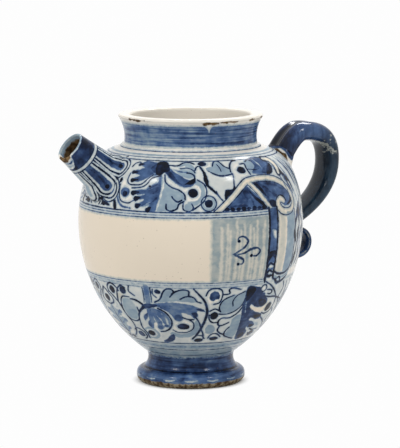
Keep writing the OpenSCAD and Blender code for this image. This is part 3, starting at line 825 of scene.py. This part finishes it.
class Nodes:
    """A node tree, put together by short calls that return sockets."""

    def __init__(self, owner):
        owner.use_nodes = True
        self.tree = owner.node_tree

    def put(self, kind, inputs, **settings):
        """A node with its settings and its inputs, each a value or a socket."""
        node = self.tree.nodes.new(kind)
        for key, value in settings.items():
            setattr(node, key, value)
        for key, value in inputs.items():
            self.feed(node.inputs[key], value)
        return node

    def feed(self, socket, value):
        """Links or sets one input."""
        if isinstance(value, bpy.types.NodeSocket):
            self.tree.links.new(value, socket)
        else:
            socket.default_value = value

    def math(self, operation, a, b=0.0, c=0.0, clamp=False):
        """One step of arithmetic."""
        node = self.put("ShaderNodeMath", {0: a, 1: b, 2: c}, operation=operation, use_clamp=clamp)
        return node.outputs[0]

    def span(self, value, low, high, to_low=0.0, to_high=1.0, way="SMOOTHSTEP"):
        """A value brought from one range to another, smoothly unless the way says otherwise."""
        inputs = {"Value": value, "From Min": low, "From Max": high, "To Min": to_low, "To Max": to_high}
        return self.put("ShaderNodeMapRange", inputs, interpolation_type=way).outputs[0]

    def place(self, kind):
        """Where a point lies, in one kind of coordinates."""
        return self.put("ShaderNodeTexCoord", {}).outputs[kind]

    def sees_ground(self):
        """1 for the rays that see the white ground: the camera's, and those of gloss and glass."""
        rays = self.put("ShaderNodeLightPath", {}).outputs
        gloss_and_glass = self.math("MAXIMUM", rays["Is Glossy Ray"], rays["Is Transmission Ray"])
        return self.math("MAXIMUM", rays["Is Camera Ray"], gloss_and_glass)


class Shader(Nodes):
    """The nodes of a glaze."""

    def __init__(self, name, gloss):
        self.material = bpy.data.materials.new(name)
        super().__init__(self.material)
        self.bsdf = self.tree.nodes["Principled BSDF"]
        self.bsdf.inputs["Specular IOR Level"].default_value = gloss
        self.where = self.place("Object")

    def value(self, name):
        """A number kept at each vertex."""
        return self.put("ShaderNodeAttribute", {}, attribute_name=name).outputs["Fac"]

    def noise(self, size, detail=2.0):
        """Noise from 0 to 1 with features of about size, one number or one for each axis."""
        scale = tuple(float(1 / (MM * s)) for s in np.broadcast_to(size, 3))
        place = self.put("ShaderNodeMapping", {"Vector": self.where, "Scale": scale}).outputs[0]
        inputs = {"Vector": place, "Scale": 1.0, "Detail": detail}
        return self.put("ShaderNodeTexNoise", inputs).outputs["Fac"]

    def uneven(self, size, detail=2.0):
        """Noise about 0."""
        return self.math("SUBTRACT", self.noise(size, detail), 0.5)

    def ramp(self, value, stops):
        """A colour ramp."""
        node = self.put("ShaderNodeValToRGB", {"Fac": value})
        elements = node.color_ramp.elements
        while len(elements) < len(stops):
            elements.new(0.5)
        for element, (position, colour) in zip(elements, stops):
            element.position = position
            element.color = colour
        return node.outputs["Color"]

    def mix(self, factor, a, b, blend="MIX"):
        """Two colours mixed."""
        inputs = {"Factor": factor, 6: a, 7: b}
        return self.put("ShaderNodeMix", inputs, data_type="RGBA", blend_type=blend).outputs[2]

    def finish(self, colour, rough, *bumps):
        """Colour, roughness and bumps, as pairs of noise and height in mm, brought together."""
        total = 0.0
        for noise, height in bumps:
            total = self.math("MULTIPLY_ADD", noise, height, total)
        normal = self.put("ShaderNodeBump", {"Height": total, "Strength": 1.0, "Distance": MM}).outputs[0]
        for key, value in {"Base Color": colour, "Roughness": rough, "Normal": normal}.items():
            self.feed(self.bsdf.inputs[key], value)
        return self.material


def painted_glaze(name, streak_size, streak, strength=1.0, clay_colour=CLAY):
    """Cobalt paint on a cream tin glaze, laid where the layers say, with brush streaks."""
    s = Shader(name, PAINT_GLOSS)
    coarse = s.noise(3.2)
    wobble = s.math("MULTIPLY_ADD", s.math("SUBTRACT", coarse, 0.5), 1.5,
                    s.math("MULTIPLY", s.uneven(0.9), 0.7))
    clouds = s.uneven(7)
    tone = s.math("MULTIPLY_ADD", s.uneven(streak_size, 3.0), streak,
                  s.math("MULTIPLY_ADD", clouds, 0.9, strength))

    def mask(layer, soft, rough=1.0):
        edge = s.math("MULTIPLY_ADD", wobble, rough, s.value(layer))
        return s.math("MULTIPLY_ADD", edge, -1 / soft, 0.5, clamp=True)

    density = 0.0
    for layer in BLEEDING:
        edge = s.math("MULTIPLY_ADD", wobble, 1.6, s.value(layer))
        density = s.math("MAXIMUM", density, s.span(edge, BLEED_FAR, BLEED_NEAR, 0.0, BLEED))
    for layer, amount, soft, wander in DENSITY:
        toned = s.math("MULTIPLY", s.math("MULTIPLY", mask(layer, soft, wander), amount), tone)
        density = s.math("MAXIMUM", density, toned)
    colour = s.ramp(density, PIGMENT)
    colour = s.mix(mask("warm", 1.5), colour, s.mix(1.0, colour, WARM_TINT, "MULTIPLY"))
    specks = s.span(s.noise(1.6, 1.0), 0.74, 0.78)
    colour = s.mix(s.math("MULTIPLY", specks, 0.35), colour, CLAY)
    clay = mask("clay", 0.7, 1.6)
    colour = s.mix(clay, colour, s.mix(s.span(coarse, 0.35, 0.65), CLAY_DARK, clay_colour))
    rough = s.math("MAXIMUM", s.span(clouds, -0.3, 0.3, 0.12, 0.22), s.math("MULTIPLY", clay, 0.8))
    return s.finish(colour, rough, (s.noise(7), 0.12), (s.noise(1.4), 0.02), (density, 0.03))


def dark_glaze(name):
    """Dark cobalt, thinner on the edges, greener towards the strap's lower end, with a pale crease and, on
    the curl, a painted highlight.
    """
    s = Shader(name, DARK_GLOSS)
    clouds = s.noise(7, 3.0)
    density = s.math("MULTIPLY_ADD", clouds, 0.4, 0.53)
    density = s.math("MULTIPLY_ADD", s.value("edge"), -0.14, density)
    density = s.math("MULTIPLY_ADD", s.uneven((2.2, 2.2, 14)), 0.3, density)
    # Darker where the dark layer lies: on the strap this is painted shade along its groove
    density = s.math("ADD", density, s.span(s.value("dark"), 2.4, -1.2, 0.0, 0.2))
    density = s.math("ADD", density, s.span(s.value("along"), 0.3, 0.1, 0.0, 0.24))
    greener = s.math("MULTIPLY", s.span(s.value("along"), 0.3, 0.48), 0.88)
    colour = s.mix(greener, s.ramp(density, PIGMENT), s.ramp(density, GREENISH))
    # Pale where the veil and pale layers lie: the crease and its pits on the handle, and a painted highlight
    # along the curl's edge
    crease = s.math("MINIMUM", s.value("veil"), s.value("pale"))
    crease = s.span(s.math("ADD", crease, s.math("MULTIPLY", s.uneven(1.8), 4.0)), 0.4, -0.6)
    colour = s.mix(s.math("MULTIPLY", crease, 0.75), colour, CREASE_AND_HIGHLIGHT)
    rough = s.span(clouds, 0.3, 0.7, 0.09, 0.2)
    return s.finish(colour, rough, (s.noise(6), 0.1), (s.noise(1.5), 0.012), (crease, -0.3))


# Pieces turned on the wheel

BELLY_COLUMNS, NECK_COLUMNS, RING_COLUMNS = 920, 640, 480
# Spacing of the profile's points on the painted skin and elsewhere
FINE, COARSE = 0.55, 2.5
# Where the belly's inside ends above the well, and how the hole for the spout is cut
WELL_EDGE = 3
BORE_EDGE = 0.6
BORE_SPAN = 3 * WALL


def belly_profile():
    """The belly's painted outer curve and its whole closed profile."""
    outer = belly_curve(0, FINE, NECK_Z)
    inner_top = SHOULDER_C[1] + SHOULDER_R - WALL
    inner = belly_curve(WALL, COARSE, inner_top)[::-1]
    inner = inner[inner[:, 0] > WELL_R + WELL_EDGE]
    profile = chain(outer, line((SEAT_R, NECK_Z), (NECK_BORE_R, NECK_Z), COARSE),
                    line((NECK_BORE_R, inner_top), inner[0], COARSE), inner,
                    line((WELL_R, FOOT_H), (JOINT_R, FOOT_H), COARSE)[:-1])
    return outer, profile


def make_belly():
    """The belly with its ornament, the same on both sides, hollow and open for the neck and the spout."""
    outer, profile = belly_profile()
    rows, half = len(outer), BELLY_COLUMNS // 2 + 1
    points, angle = turned(profile, BELLY_COLUMNS)
    p = lathe_canvas(angle[:half], lengths(outer), outer[:, 0])
    paint_belly(p, points.reshape(-1, BELLY_COLUMNS, 3)[:rows, :half].reshape(-1, 3))
    column = np.arange(BELLY_COLUMNS)
    near_side = np.minimum(column, BELLY_COLUMNS - column)
    layers = {}
    for name, values in p.layers.items():
        full = np.full((len(profile), BELLY_COLUMNS), FAR)
        full[:rows] = values.reshape(rows, half)[:, near_side]
        layers[name] = full.ravel()
    along, reach, _ = round_spout(points)
    bored = (reach < SPOUT_BORE_R + BORE_EDGE) & (np.abs(along) < BORE_SPAN)
    quads, uv = grid(len(profile), BELLY_COLUMNS)
    keep = ~bored[quads].all(1)
    build("belly_shell", points, (quads[keep], uv[keep]), "belly", layers,
          painted_glaze("belly_paint", (6, 6, 2.5), 0.5))


def make_turned(name, profile, columns, node, paint, material, chip=0.0):
    """A ring turned about the jar's axis, painted, and sunk by up to chip where clay shows."""
    points, angle = turned(profile, columns)
    p = lathe_canvas(angle, lengths(profile), profile[:, 0])
    paint(p)
    way = np.gradient(profile, axis=0)
    out = np.stack([way[:, 1], -way[:, 0]], 1) / np.linalg.norm(way, axis=1)[:, None]
    sunk = np.repeat(out, columns, 0) * np.clip(-p.layers["clay"], 0, chip)[:, None]
    turn = np.radians(SPOUT_ANGLE + p.angle)
    points = points - np.stack([sunk[:, 0] * np.cos(turn), sunk[:, 0] * np.sin(turn), sunk[:, 1]], 1)
    build(name, points, grid(len(profile), columns), node, p.layers, material)


def neck_profile():
    """The neck from the outside of its foot, over the lip and down the bore."""
    lip_z = JAR_H - LIP_H / 2
    lip_out, lip_in = LIP_R - LIP_H / 2, NECK_BORE_R + LIP_H / 2
    start = 180 + math.degrees(math.asin(NECK_WAIST_H / NECK_CURVE_R))
    end = 180 - math.degrees(math.asin((lip_z - NECK_C[1]) / NECK_CURVE_R))
    return chain(arc(NECK_C, NECK_CURVE_R, start, end, 0.5), arc((lip_out, lip_z), LIP_H / 2, 0, 90, 0.4),
                 line((lip_out, JAR_H), (lip_in, JAR_H), 0.8), arc((lip_in, lip_z), LIP_H / 2, 90, 180, 0.6),
                 line((NECK_BORE_R, lip_z), (NECK_BORE_R, NECK_Z), 1.5),
                 line((NECK_BORE_R, NECK_Z), (NECK_FOOT_R, NECK_Z), 1.5)[:-1])


# Chips along the lip: their depth, and each one's angle, length along the profile, width and half run
LIP_CHIP = 0.5
LIP_CHIPS = ((4, 22.7, 1.9, 15), (73.5, 21.3, 3.0, 7), (90.5, 22.1, 2.5, 8), (115.5, 22.4, 2.4, 4),
             (135.5, 22.8, 2.0, 4), (171, 22.4, 2.0, 6), (214, 22.0, 2.6, 8), (263, 22.6, 2.0, 10),
             (318, 22.2, 2.4, 5))


def paint_neck(p):
    """A brushed blue band below the cream lip, a cream run through it and brown chips along the lip."""
    p.band("mid", 3.6, 19.2)
    for low, high in ((5.4, 7.2), (9.8, 10.5), (15.4, 16.2)):
        p.band("deep", low, high)
    p.fill("clear", (67, 21), (79, 21), (75, 18), (73.4, 14.4), (72, 17.6))
    for angle, high, width, reach in LIP_CHIPS:
        p.stroke("clay", (0.5, width, 0.7 * width, 0.9 * width, 0.5),
                 (angle - reach, high + 0.3), (angle - reach / 2, high), (angle, high + 0.4),
                 (angle + reach / 2, high - 0.1), (angle + reach, high + 0.5))


def make_neck():
    """The neck with its lip."""
    make_turned("neck_ring", neck_profile(), NECK_COLUMNS, "neck", paint_neck,
                painted_glaze("neck_paint", (30, 30, 1.2), 1.5, 0.82), LIP_CHIP)


# The ridge round the neck's foot: the angle at which its round ends, and how deep and high its hidden back is
RIDGE_END = math.degrees(math.acos(-0.4))
RIDGE_BACK, RIDGE_BACK_H = 1, 1.2


def make_neck_coil():
    """The ridge round the neck's foot, with a line along its lower edge."""
    back = NECK_FOOT_R - RIDGE_BACK
    profile = chain(arc((NECK_FOOT_R, NECK_Z), NECK_COIL_R, 0, RIDGE_END, 0.3),
                    line((back, NECK_Z + RIDGE_BACK_H), (back, NECK_Z), 0.6))

    def paint(p):
        p.stroke("line", 0.5, (-10, 0.5), (370, 0.5))

    make_turned("neck_ridge", profile, RING_COLUMNS, "neck_coil", paint,
                painted_glaze("ridge_paint", (30, 30, 1.2), 0.8))


def foot_profile():
    """The foot from under its rim, up its waist, over its top and down into the well."""
    a, b = np.array([JOINT_R, FOOT_H]), np.array([FOOT_CREASE_R, FOOT_RIM_H])
    chord = np.linalg.norm(b - a)
    waist_r = ((chord / 2) ** 2 + FOOT_WAIST_DEPTH ** 2) / (2 * FOOT_WAIST_DEPTH)
    out = np.array([a[1] - b[1], b[0] - a[0]]) / chord
    centre = (a + b) / 2 + (waist_r - FOOT_WAIST_DEPTH) * out
    from_b, from_a = (math.degrees(math.atan2(*(end - centre)[::-1])) % 360 for end in (b, a))
    edge, rim_z = FOOT_R - FOOT_ROUND, FOOT_RIM_H - FOOT_ROUND
    hub = 0.4
    return chain(line((hub, 0), (edge, 0), COARSE), arc((edge, FOOT_ROUND), FOOT_ROUND, -90, 0, 0.5),
                 line((FOOT_R, FOOT_ROUND), (FOOT_R, rim_z), 0.8), arc((edge, rim_z), FOOT_ROUND, 0, 90, 0.5),
                 line((edge, FOOT_RIM_H), b, 0.3), arc(centre, waist_r, from_b, from_a, 0.6),
                 line(a, (WELL_R, FOOT_H), COARSE), line((WELL_R, FOOT_H), (WELL_R, FOOT_FLOOR), COARSE),
                 line((WELL_R, FOOT_FLOOR), (hub, FOOT_FLOOR), COARSE))


def make_foot():
    """The foot: pale rings at its top, a dark waist, a lighter rim and bare clay along its lower edge."""
    profile = foot_profile()
    rim = FOOT_R - FOOT_ROUND
    widest = rim + FOOT_ROUND * math.pi / 2
    top = lengths(profile)[np.argmax(profile[:, 1] > FOOT_H - 0.01)]

    def paint(p):
        p.band("veil", top - 1.2, top + 2)
        for high in (top + 0.6, top - 0.9):
            p.stroke("line", 0.8, (-10, high), (90, high - 0.2), (180, high + 0.1), (370, high))
        p.band("mid", rim, top - 1.2)
        p.band("deep", widest + 6, top - 1.4)
        p.band("dark", widest + 8.6, widest + 10.4)
        for start in range(-20, 380, 60):
            p.stroke("shade", (1.0, 4.4, 3.0, 1.0),
                     *moved(((0, 3), (7, 2), (14, 3.4), (20, 2)), start, widest))
            p.stroke("veil", (0.5, 2.0, 0.5), *moved(((22, 5), (32, 4.4), (44, 5)), start, widest))
        # Short cream dashes round the rim's widest line: partly worn paint, partly painted glints
        for start in range(-20, 380, 24):
            p.stroke("clear", (0.2, 0.8, 0.2), *moved(((0, 1.2), (6, 0.7), (13, 1.4)), start, widest))
        p.band("clay", -5, widest - 0.8)

    make_turned("foot_ring", profile, RING_COLUMNS, "foot", paint,
                painted_glaze("foot_paint", (24, 24, 1.6), 0.9, 0.92, FOOT_CLAY))


# The spout: the angle counts from its upper side, the length from its root

SPOUT_COLUMNS = 240
SPOUT_TURNS = np.arange(SPOUT_COLUMNS) * 360 / SPOUT_COLUMNS
PETALS = 6
UNDER_SPOUT = 180
PETAL_TOP, PETAL_END = 20.0, -2.8
# Widths of a petal's outlines and panels, from the outermost to the core
PETAL_WIDTHS = (("dark", 20.4), ("clear", 18.0), ("dark", 15.0), ("clear", 12.0), ("mid", 8.0))
PETAL_SLANT = 1.25
MOUTH_FLARE, MOUTH_FLARE_L = 1.0, 4
MOUTH_CHIP = 0.4
BORE_DEEP = SPOUT_DEEP + 5
SPOUT_SINK, COIL_SINK = WALL - 0.1, 2
# How far the coil reaches in under the spout's skin, and where its hidden edge lies on the petals' lengths
COIL_UNDER = 0.6
COIL_HIDDEN = -10
# Where the petals run on over the belly: how far from the axis and along it, from which angle to both
# sides of the spout's upper side, and down to which length of the belly's profile
PETAL_REACH = (1, 2.4 * SPOUT_ROOT_R)
PETAL_ALONG = 30
PETAL_START = 30
PETAL_LOW = 132


def petals(p):
    """Long petals round the spout, with rounded ends towards the belly."""
    places = [360 * k / PETALS for k in range(-PETALS // 2, PETALS + 2)]
    for layer, width in PETAL_WIDTHS:
        for place in places:
            core = "veil" if layer == "mid" and abs(place) == UNDER_SPOUT else layer
            p.stroke(core, (0.7 * width, 0.84 * width, width), (place, PETAL_TOP), (place, 10),
                     (place, PETAL_END))
    for place in places:
        if abs(place) != UNDER_SPOUT:
            p.stroke("shade", (2.0, 3.4, 4.6), (place, PETAL_TOP - 2), (place - 4, 12),
                     (place, PETAL_END + 1))
            p.dot("dark", (place, PETAL_END - 0.4), 4.0, 4.4)
        p.dot("dark", (place + 180 / PETALS, -8.6), 4.0, 3.2)
        p.stroke("mist", PETAL_WIDTHS[0][1], (place, PETAL_TOP), (place, PETAL_END))


def paint_round_spout(p, points):
    """Carries the petals' ends over the belly, on a canvas laid round the spout's axis."""
    along, reach, angle = round_spout(points)
    covered = (reach > PETAL_REACH[0]) & (reach < PETAL_REACH[1]) & (np.abs(along) < PETAL_ALONG)
    covered &= (np.abs(angle) > PETAL_START) & (p.length > PETAL_LOW)
    index = np.nonzero(covered)[0]
    q = Canvas(angle[index], PETAL_SLANT * (SPOUT_ROOT_R - reach[index]), reach[index])
    petals(q)
    for name in PAINTS:
        kept = np.maximum(p.layers[name][index], -q.layers["mist"])
        p.layers[name][index] = np.minimum(kept, q.layers[name])


def make_on_spout(name, node, profile, p, depth, material_name):
    """A piece turned about the spout's axis, chipped where clay shows and let into the belly."""
    turn = np.radians(SPOUT_TURNS)
    ring = np.cos(turn)[:, None] * SPOUT_UP + np.sin(turn)[:, None] * SPOUT_SIDE
    radius, along = profile.T[:, :, None, None]
    points = (SPOUT_START + along * SPOUT_AXIS + radius * ring).reshape(-1, 3)
    points = points - np.clip(-p.layers["clay"], 0, MOUTH_CHIP)[:, None] * SPOUT_AXIS
    build(name, sink(points, depth), grid(len(profile), SPOUT_COLUMNS), node, p.layers,
          painted_glaze(material_name, (5, 5, 5), 0.6, 1.12))


def paint_spout(p, mouth):
    """The petals, the dark collar behind the mouth and the worn glaze and bare clay at the mouth."""
    petals(p)
    p.band("clear", PETAL_TOP, 60)
    p.band("line", PETAL_TOP - 0.4, PETAL_TOP + 0.5)
    p.band("line", PETAL_TOP + 2.7, PETAL_TOP + 3.6)
    p.band("deep", PETAL_TOP + 3.2, mouth - 1.6)
    p.band("veil", mouth - 2.2, mouth + 1.6)
    p.band("pale", mouth + 1.0, mouth + 200)
    p.band("clay", mouth + 3.6, mouth + 200)
    p.fill("clear", *moved(((122, 2), (130, -3), (142, -8), (154, -11), (185, -12), (214, -10), (222, -3),
                            (214, 2), (170, 4)), 0, mouth))
    p.stroke("veil", (1.5, 3, 1.5), *moved(((148, -9.5), (165, -9), (190, -10)), 0, mouth))
    p.stroke("mid", (0.5, 1.4, 0.5), *moved(((136, -5), (152, -6.6), (175, -6.2)), 0, mouth))
    p.fill("clay", *moved(((122, 2), (132, -1.5), (146, -3.6), (160, -4.6), (180, -4.4), (200, -1), (196, 9),
                           (160, 14), (110, 11)), 0, mouth))


def make_spout():
    """The spout with its bore, its root let into the belly's wall."""
    tip_z, lip_r = SPOUT_L - SPOUT_ROUND, SPOUT_TIP_R - SPOUT_ROUND
    ridge = (SPOUT_RIDGE_R, SPOUT_L - SPOUT_COLLAR_L)
    flare, bore = (SPOUT_BORE_R + MOUTH_FLARE, SPOUT_L), (SPOUT_BORE_R, SPOUT_L - MOUTH_FLARE_L)
    root, bore_end = (SPOUT_ROOT_R, -SPOUT_DEEP), (SPOUT_BORE_R, -BORE_DEEP)
    outer = chain(line(root, (SPOUT_ROOT_R, 0), 0.5), line((SPOUT_ROOT_R, 0), ridge, 0.5),
                  line(ridge, (SPOUT_TIP_R, tip_z), 0.5), arc((lip_r, tip_z), SPOUT_ROUND, 0, 90, 0.25))
    profile = chain(outer, line((lip_r, SPOUT_L), flare, 0.3), line(flare, bore, 0.5),
                    line(bore, bore_end, 1), line(bore_end, root, 2)[:-1])
    length = lengths(profile) - SPOUT_DEEP
    p = lathe_canvas(SPOUT_TURNS, length, profile[:, 0])
    paint_spout(p, length[len(outer)])
    make_on_spout("spout_tube", "spout", profile, p, SPOUT_SINK, "spout_paint")


def make_spout_coil():
    """The clay pressed round the spout's root."""
    top_r = SPOUT_ROOT_R + SPOUT_COIL_T
    low_r = top_r + SPOUT_COIL_SPREAD
    base_r = top_r + SPOUT_COIL_SPREAD * (SPOUT_COIL_H + WALL) / SPOUT_COIL_H
    taper = (SPOUT_ROOT_R - SPOUT_RIDGE_R) / (SPOUT_L - SPOUT_COLLAR_L)
    meets = SPOUT_ROOT_R - taper * SPOUT_COIL_H
    inner = meets - COIL_UNDER
    profile = chain(line((base_r, -WALL), (low_r, 0), 0.5), line((low_r, 0), (meets, SPOUT_COIL_H), 0.4),
                    line((meets, SPOUT_COIL_H), (inner, SPOUT_COIL_H), 0.5),
                    line((inner, SPOUT_COIL_H), (inner, -WALL), 2))
    length = np.interp(profile[:, 1], (-WALL, 0, SPOUT_COIL_H),
                       (COIL_HIDDEN, PETAL_SLANT * (SPOUT_ROOT_R - low_r), SPOUT_COIL_H))
    p = lathe_canvas(SPOUT_TURNS, length, profile[:, 0])
    petals(p)
    make_on_spout("spout_seam", "spout_coil", profile, p, COIL_SINK, "seam_paint")


# The handle: the angle counts round the strap from its edge, outer side first, the length from its root

STRAP_POINTS = 56
STRAP_SINK = 3
HANDLE_RINGS, WAD_RINGS, SCROLL_RINGS = 40, 40, 120
CREASE_SHARE = 0.47
WAD_BARE = 7.5
# Height above the belly under which the wad is brown: bare clay, and painted shade of the joint
WAD_SEAM_AND_SHADE = 3.2
# Where the curl's colours lie on the handle's scale, from its root at 0 to its lower end at 1
SCROLL_TINT = (0.32, 0.38)


def bezier(p, t):
    """A point of a bend."""
    return (1 - t) ** 3 * p[0] + 3 * (1 - t) ** 2 * t * p[1] + 3 * (1 - t) * t * t * p[2] + t ** 3 * p[3]


def strap(path, widths, thicknesses, groove):
    """Points of a strap along a path in the XZ plane, and how near its edges each of them is."""
    step = np.gradient(path, axis=0)
    normal = np.stack([-step[:, 1], step[:, 0]], 1) / np.linalg.norm(step, axis=1)[:, None]
    turn = np.arange(STRAP_POINTS) * 2 * np.pi / STRAP_POINTS
    x, y = (np.sign(part) * np.abs(part) ** STRAP_SQUARE for part in (np.cos(turn), np.sin(turn)))
    dip = np.where(y > 0, np.maximum(0, 1 - (x / GROOVE_SHARE) ** 2) ** 2, 0)
    across = widths[:, None] / 2 * x
    out = thicknesses[:, None] / 2 * y - groove * dip
    points = np.stack([path[:, :1] + out * normal[:, :1], across, path[:, 1:] + out * normal[:, 1:]], -1)
    return points.reshape(-1, 3), np.tile(np.abs(x) ** 3, len(path))


def make_strap(name, node, path, widths, thicknesses, material, paint, groove=0, tint=(0, 1)):
    """A piece made from a strap whose ends are let into the belly."""
    points, edge = strap(path, widths, thicknesses, groove)
    angle = np.arange(STRAP_POINTS) * 360 / STRAP_POINTS
    p = lathe_canvas(angle, lengths(path), (widths + thicknesses) / 4)
    paint(p)
    p.layers["edge"] = edge
    p.layers["along"] = tint[0] + (tint[1] - tint[0]) * p.length / p.length.max()
    shape = grid(len(path), STRAP_POINTS, False)
    build(name, sink(points, STRAP_SINK), shape, node, p.layers, material)


def make_handle(material):
    """The grooved strap, with a pale crease inside its bend and painted shade along its groove."""
    path = np.vstack([[bezier(bend, t) for t in np.linspace(0, 1, HANDLE_RINGS, bend is HANDLE_BENDS[-1])]
                      for bend in HANDLE_BENDS])
    share = np.linspace(0, 1, len(path))
    bend = np.interp(CREASE_SHARE, share, lengths(path))

    def paint(p):
        p.stroke("veil", (1.6, 5.4, 4.0, 2.6, 2.2, 1.2),
                 *moved(((305, -12), (272, -7), (245, 0), (218, 8), (196, 14), (172, 17)), 0, bend))
        p.stroke("veil", (0.8, 1.8, 0.8), *moved(((262, 2), (236, 8), (210, 16)), 0, bend))
        # Painted shade along the groove on the strap's outer side
        p.stroke("dark", (2.6, 2.2, 1.0), (88, 0), (88, bend / 2), (88, 0.8 * bend))
        for step in range(11):
            p.dot("pale", (158 + 9 * step, bend + 9 + 8 * math.sin(4 * step)), 1.8, 1.4)

    make_strap("handle_strap", "handle", path, np.full(len(path), HANDLE_W),
               handle_t(share), material, paint, HANDLE_GROOVE)


def make_wad(material):
    """The clay wad round the handle's upper root: painted blue above, bare next to the belly, and brown right
    at the belly: bare clay and painted shade of the joint.
    """
    share = np.linspace(0, 1, WAD_RINGS)
    path = np.array([bezier(HANDLE_BENDS[0], WAD_SHARE * t) for t in share])
    flare = 2 * (WAD_T * (1.1 - share ** 4) + WAD_SPREAD * (1 - share) ** 2)
    widths, thicknesses = HANDLE_W + flare, handle_t(WAD_SHARE / 3 * share) + flare
    above = -belly_depth(strap(path, widths, thicknesses, 0)[0])[0]

    def paint(p):
        turn = np.radians(p.angle)
        bare = WAD_BARE - 4 * np.sin(turn) + 1.6 * np.sin(3 * turn + 1)
        # Brown next to the belly: bare clay, and painted shade of the joint
        seam_and_shade = WAD_SEAM_AND_SHADE + 1.8 * np.sin(2 * turn + 2.6) + 0.9 * np.sin(7 * turn)
        for layer, gap in (("deep", bare - above), ("dark", bare + 2 - above), ("clay", above - seam_and_shade)):
            p.layers[layer] = np.clip(gap, -FAR, FAR)

    make_strap("handle_root_wad", "handle_wad", path, widths, thicknesses, material, paint)


def make_scroll(material):
    """The curled end under the handle, with a painted highlight along its edge."""
    share = np.linspace(0, 1, SCROLL_RINGS)
    turn = np.radians(180 + SCROLL_TURN * share)
    radius = SCROLL_R - SCROLL_PITCH * SCROLL_TURN / 360 * share
    path = SCROLL_C + radius[:, None] * np.stack([np.cos(turn), np.sin(turn)], 1)
    widths, thicknesses = (start + (end - start) * share for start, end in (SCROLL_W, SCROLL_T))
    last = lengths(path)[-1]

    def paint(p):
        p.band("dark", 0, last, 190, 350)
        # Painted highlight: a thin pale line along the curl's edge
        p.stroke("veil", (0.5, 1.2, 1.6), (160, 0.1 * last), (160, 0.5 * last), (160, last))

    make_strap("handle_curl", "handle_scroll", path, widths, thicknesses, material, paint,
               tint=SCROLL_TINT)


# Studio: azimuths count from -Y towards +X

CAMERA_AZIMUTH = -32
CAMERA_AWAY_M = 1.85
CAMERA_HIGH_M = 0.375
FOCAL_PX = 2511
FRAME_PX = 448
SENSOR_MM = 36
AIM_HIGH_M = 0.1174
AIM_RIGHT_M = 0.00695
BACKGROUND = 0.985
FLOOR = 0.78
FLOOR_HALF_M = 12
# Distances from the jar's axis between which its shadow on the floor fades out
SHADOW_M = (0.036, 0.045)
# Strength of the even light from below and from above, and the height on the sky where it starts to grow
WORLD_LIGHT = (0.295, 0.455)
WORLD_LOW = -0.2
LAMP_AWAY_M = 1.4
# Each lamp's name, its azimuth from the camera's, its elevation, its width and height in m and its watts
LAMPS = (("left_window", -48, 42, (0.2, 0.26), 6.7), ("right_window", 52, 44, (0.18, 0.22), 4.8),
         ("back_window", 165, 52, (0.7, 0.25), 12))


def stand(name, data, place, aim):
    """Puts a camera or a lamp in its place, turned to what it aims at."""
    thing = bpy.data.objects.new(name, data)
    thing.location = place
    thing.rotation_euler = (aim - thing.location).to_track_quat("-Z", "Y").to_euler()
    bpy.context.scene.collection.objects.link(thing)
    return thing


def make_camera():
    """A camera where the photograph was taken from."""
    turn = math.radians(CAMERA_AZIMUTH)
    data = bpy.data.cameras.new("camera")
    data.sensor_width = SENSOR_MM
    data.lens = FOCAL_PX * SENSOR_MM / FRAME_PX
    place = (math.sin(turn) * CAMERA_AWAY_M, -math.cos(turn) * CAMERA_AWAY_M, CAMERA_HIGH_M)
    aim = Vector((math.cos(turn) * AIM_RIGHT_M, math.sin(turn) * AIM_RIGHT_M, AIM_HIGH_M))
    bpy.context.scene.camera = stand("camera", data, place, aim)


def make_lamp(name, azimuth, elevation, size_m, watts):
    """A soft lamp that faces the jar."""
    a, e = math.radians(CAMERA_AZIMUTH + azimuth), math.radians(elevation)
    data = bpy.data.lights.new(name, "AREA")
    data.shape = "RECTANGLE"
    data.size, data.size_y = size_m
    data.energy = watts
    middle = Vector((0, 0, JAR_H * MM / 2))
    way = Vector((math.sin(a) * math.cos(e), -math.cos(a) * math.cos(e), math.sin(e)))
    stand(name, data, middle + LAMP_AWAY_M * way, middle)


def make_world():
    """Even light, stronger from above, seen as a white ground."""
    world = bpy.data.worlds.new("studio")
    bpy.context.scene.world = world
    n = Nodes(world)
    height = n.put("ShaderNodeSeparateXYZ", {0: n.place("Generated")}).outputs["Z"]
    level = n.span(height, WORLD_LOW, 1.0, *WORLD_LIGHT, "LINEAR")
    seen = n.put("ShaderNodeMix", {"Factor": n.sees_ground(), "A": level, "B": BACKGROUND}).outputs[0]
    inputs = n.tree.nodes["Background"].inputs
    n.feed(inputs["Color"], (1, 1, 1, 1))
    n.feed(inputs["Strength"], seen)


def make_floor():
    """A plain pale floor that keeps a soft shadow."""
    mesh = bpy.data.meshes.new("floor")
    corners = [(x * FLOOR_HALF_M, y * FLOOR_HALF_M, 0) for x, y in ((-1, -1), (1, -1), (1, 1), (-1, 1))]
    mesh.from_pydata(corners, [], [(0, 1, 2, 3)])
    floor = bpy.data.objects.new("floor", mesh)
    bpy.context.scene.collection.objects.link(floor)
    material = bpy.data.materials.new("floor")
    n = Nodes(material)
    n.tree.nodes.remove(n.tree.nodes["Principled BSDF"])
    away = n.put("ShaderNodeVectorMath", {0: n.place("Object")}, operation="LENGTH").outputs["Value"]
    white = n.math("MULTIPLY", n.sees_ground(), n.span(away, *SHADOW_M))
    paper = n.put("ShaderNodeBsdfDiffuse", {"Color": (FLOOR, FLOOR, FLOOR, 1)}).outputs[0]
    glow = n.put("ShaderNodeEmission", {"Strength": BACKGROUND}).outputs[0]
    both = n.put("ShaderNodeMixShader", {"Fac": white, 1: paper, 2: glow}).outputs[0]
    n.feed(n.tree.nodes["Material Output"].inputs["Surface"], both)
    mesh.materials.append(material)


make_camera()
make_world()
for lamp in LAMPS:
    make_lamp(*lamp)
make_floor()

bpy.context.scene.view_settings.view_transform = "Standard"

make_belly()
make_neck()
make_neck_coil()
make_foot()
make_spout()
make_spout_coil()
navy = dark_glaze("strap_paint")
make_handle(navy)
make_scroll(navy)
make_wad(painted_glaze("wad_paint", (5, 5, 5), 0.5))
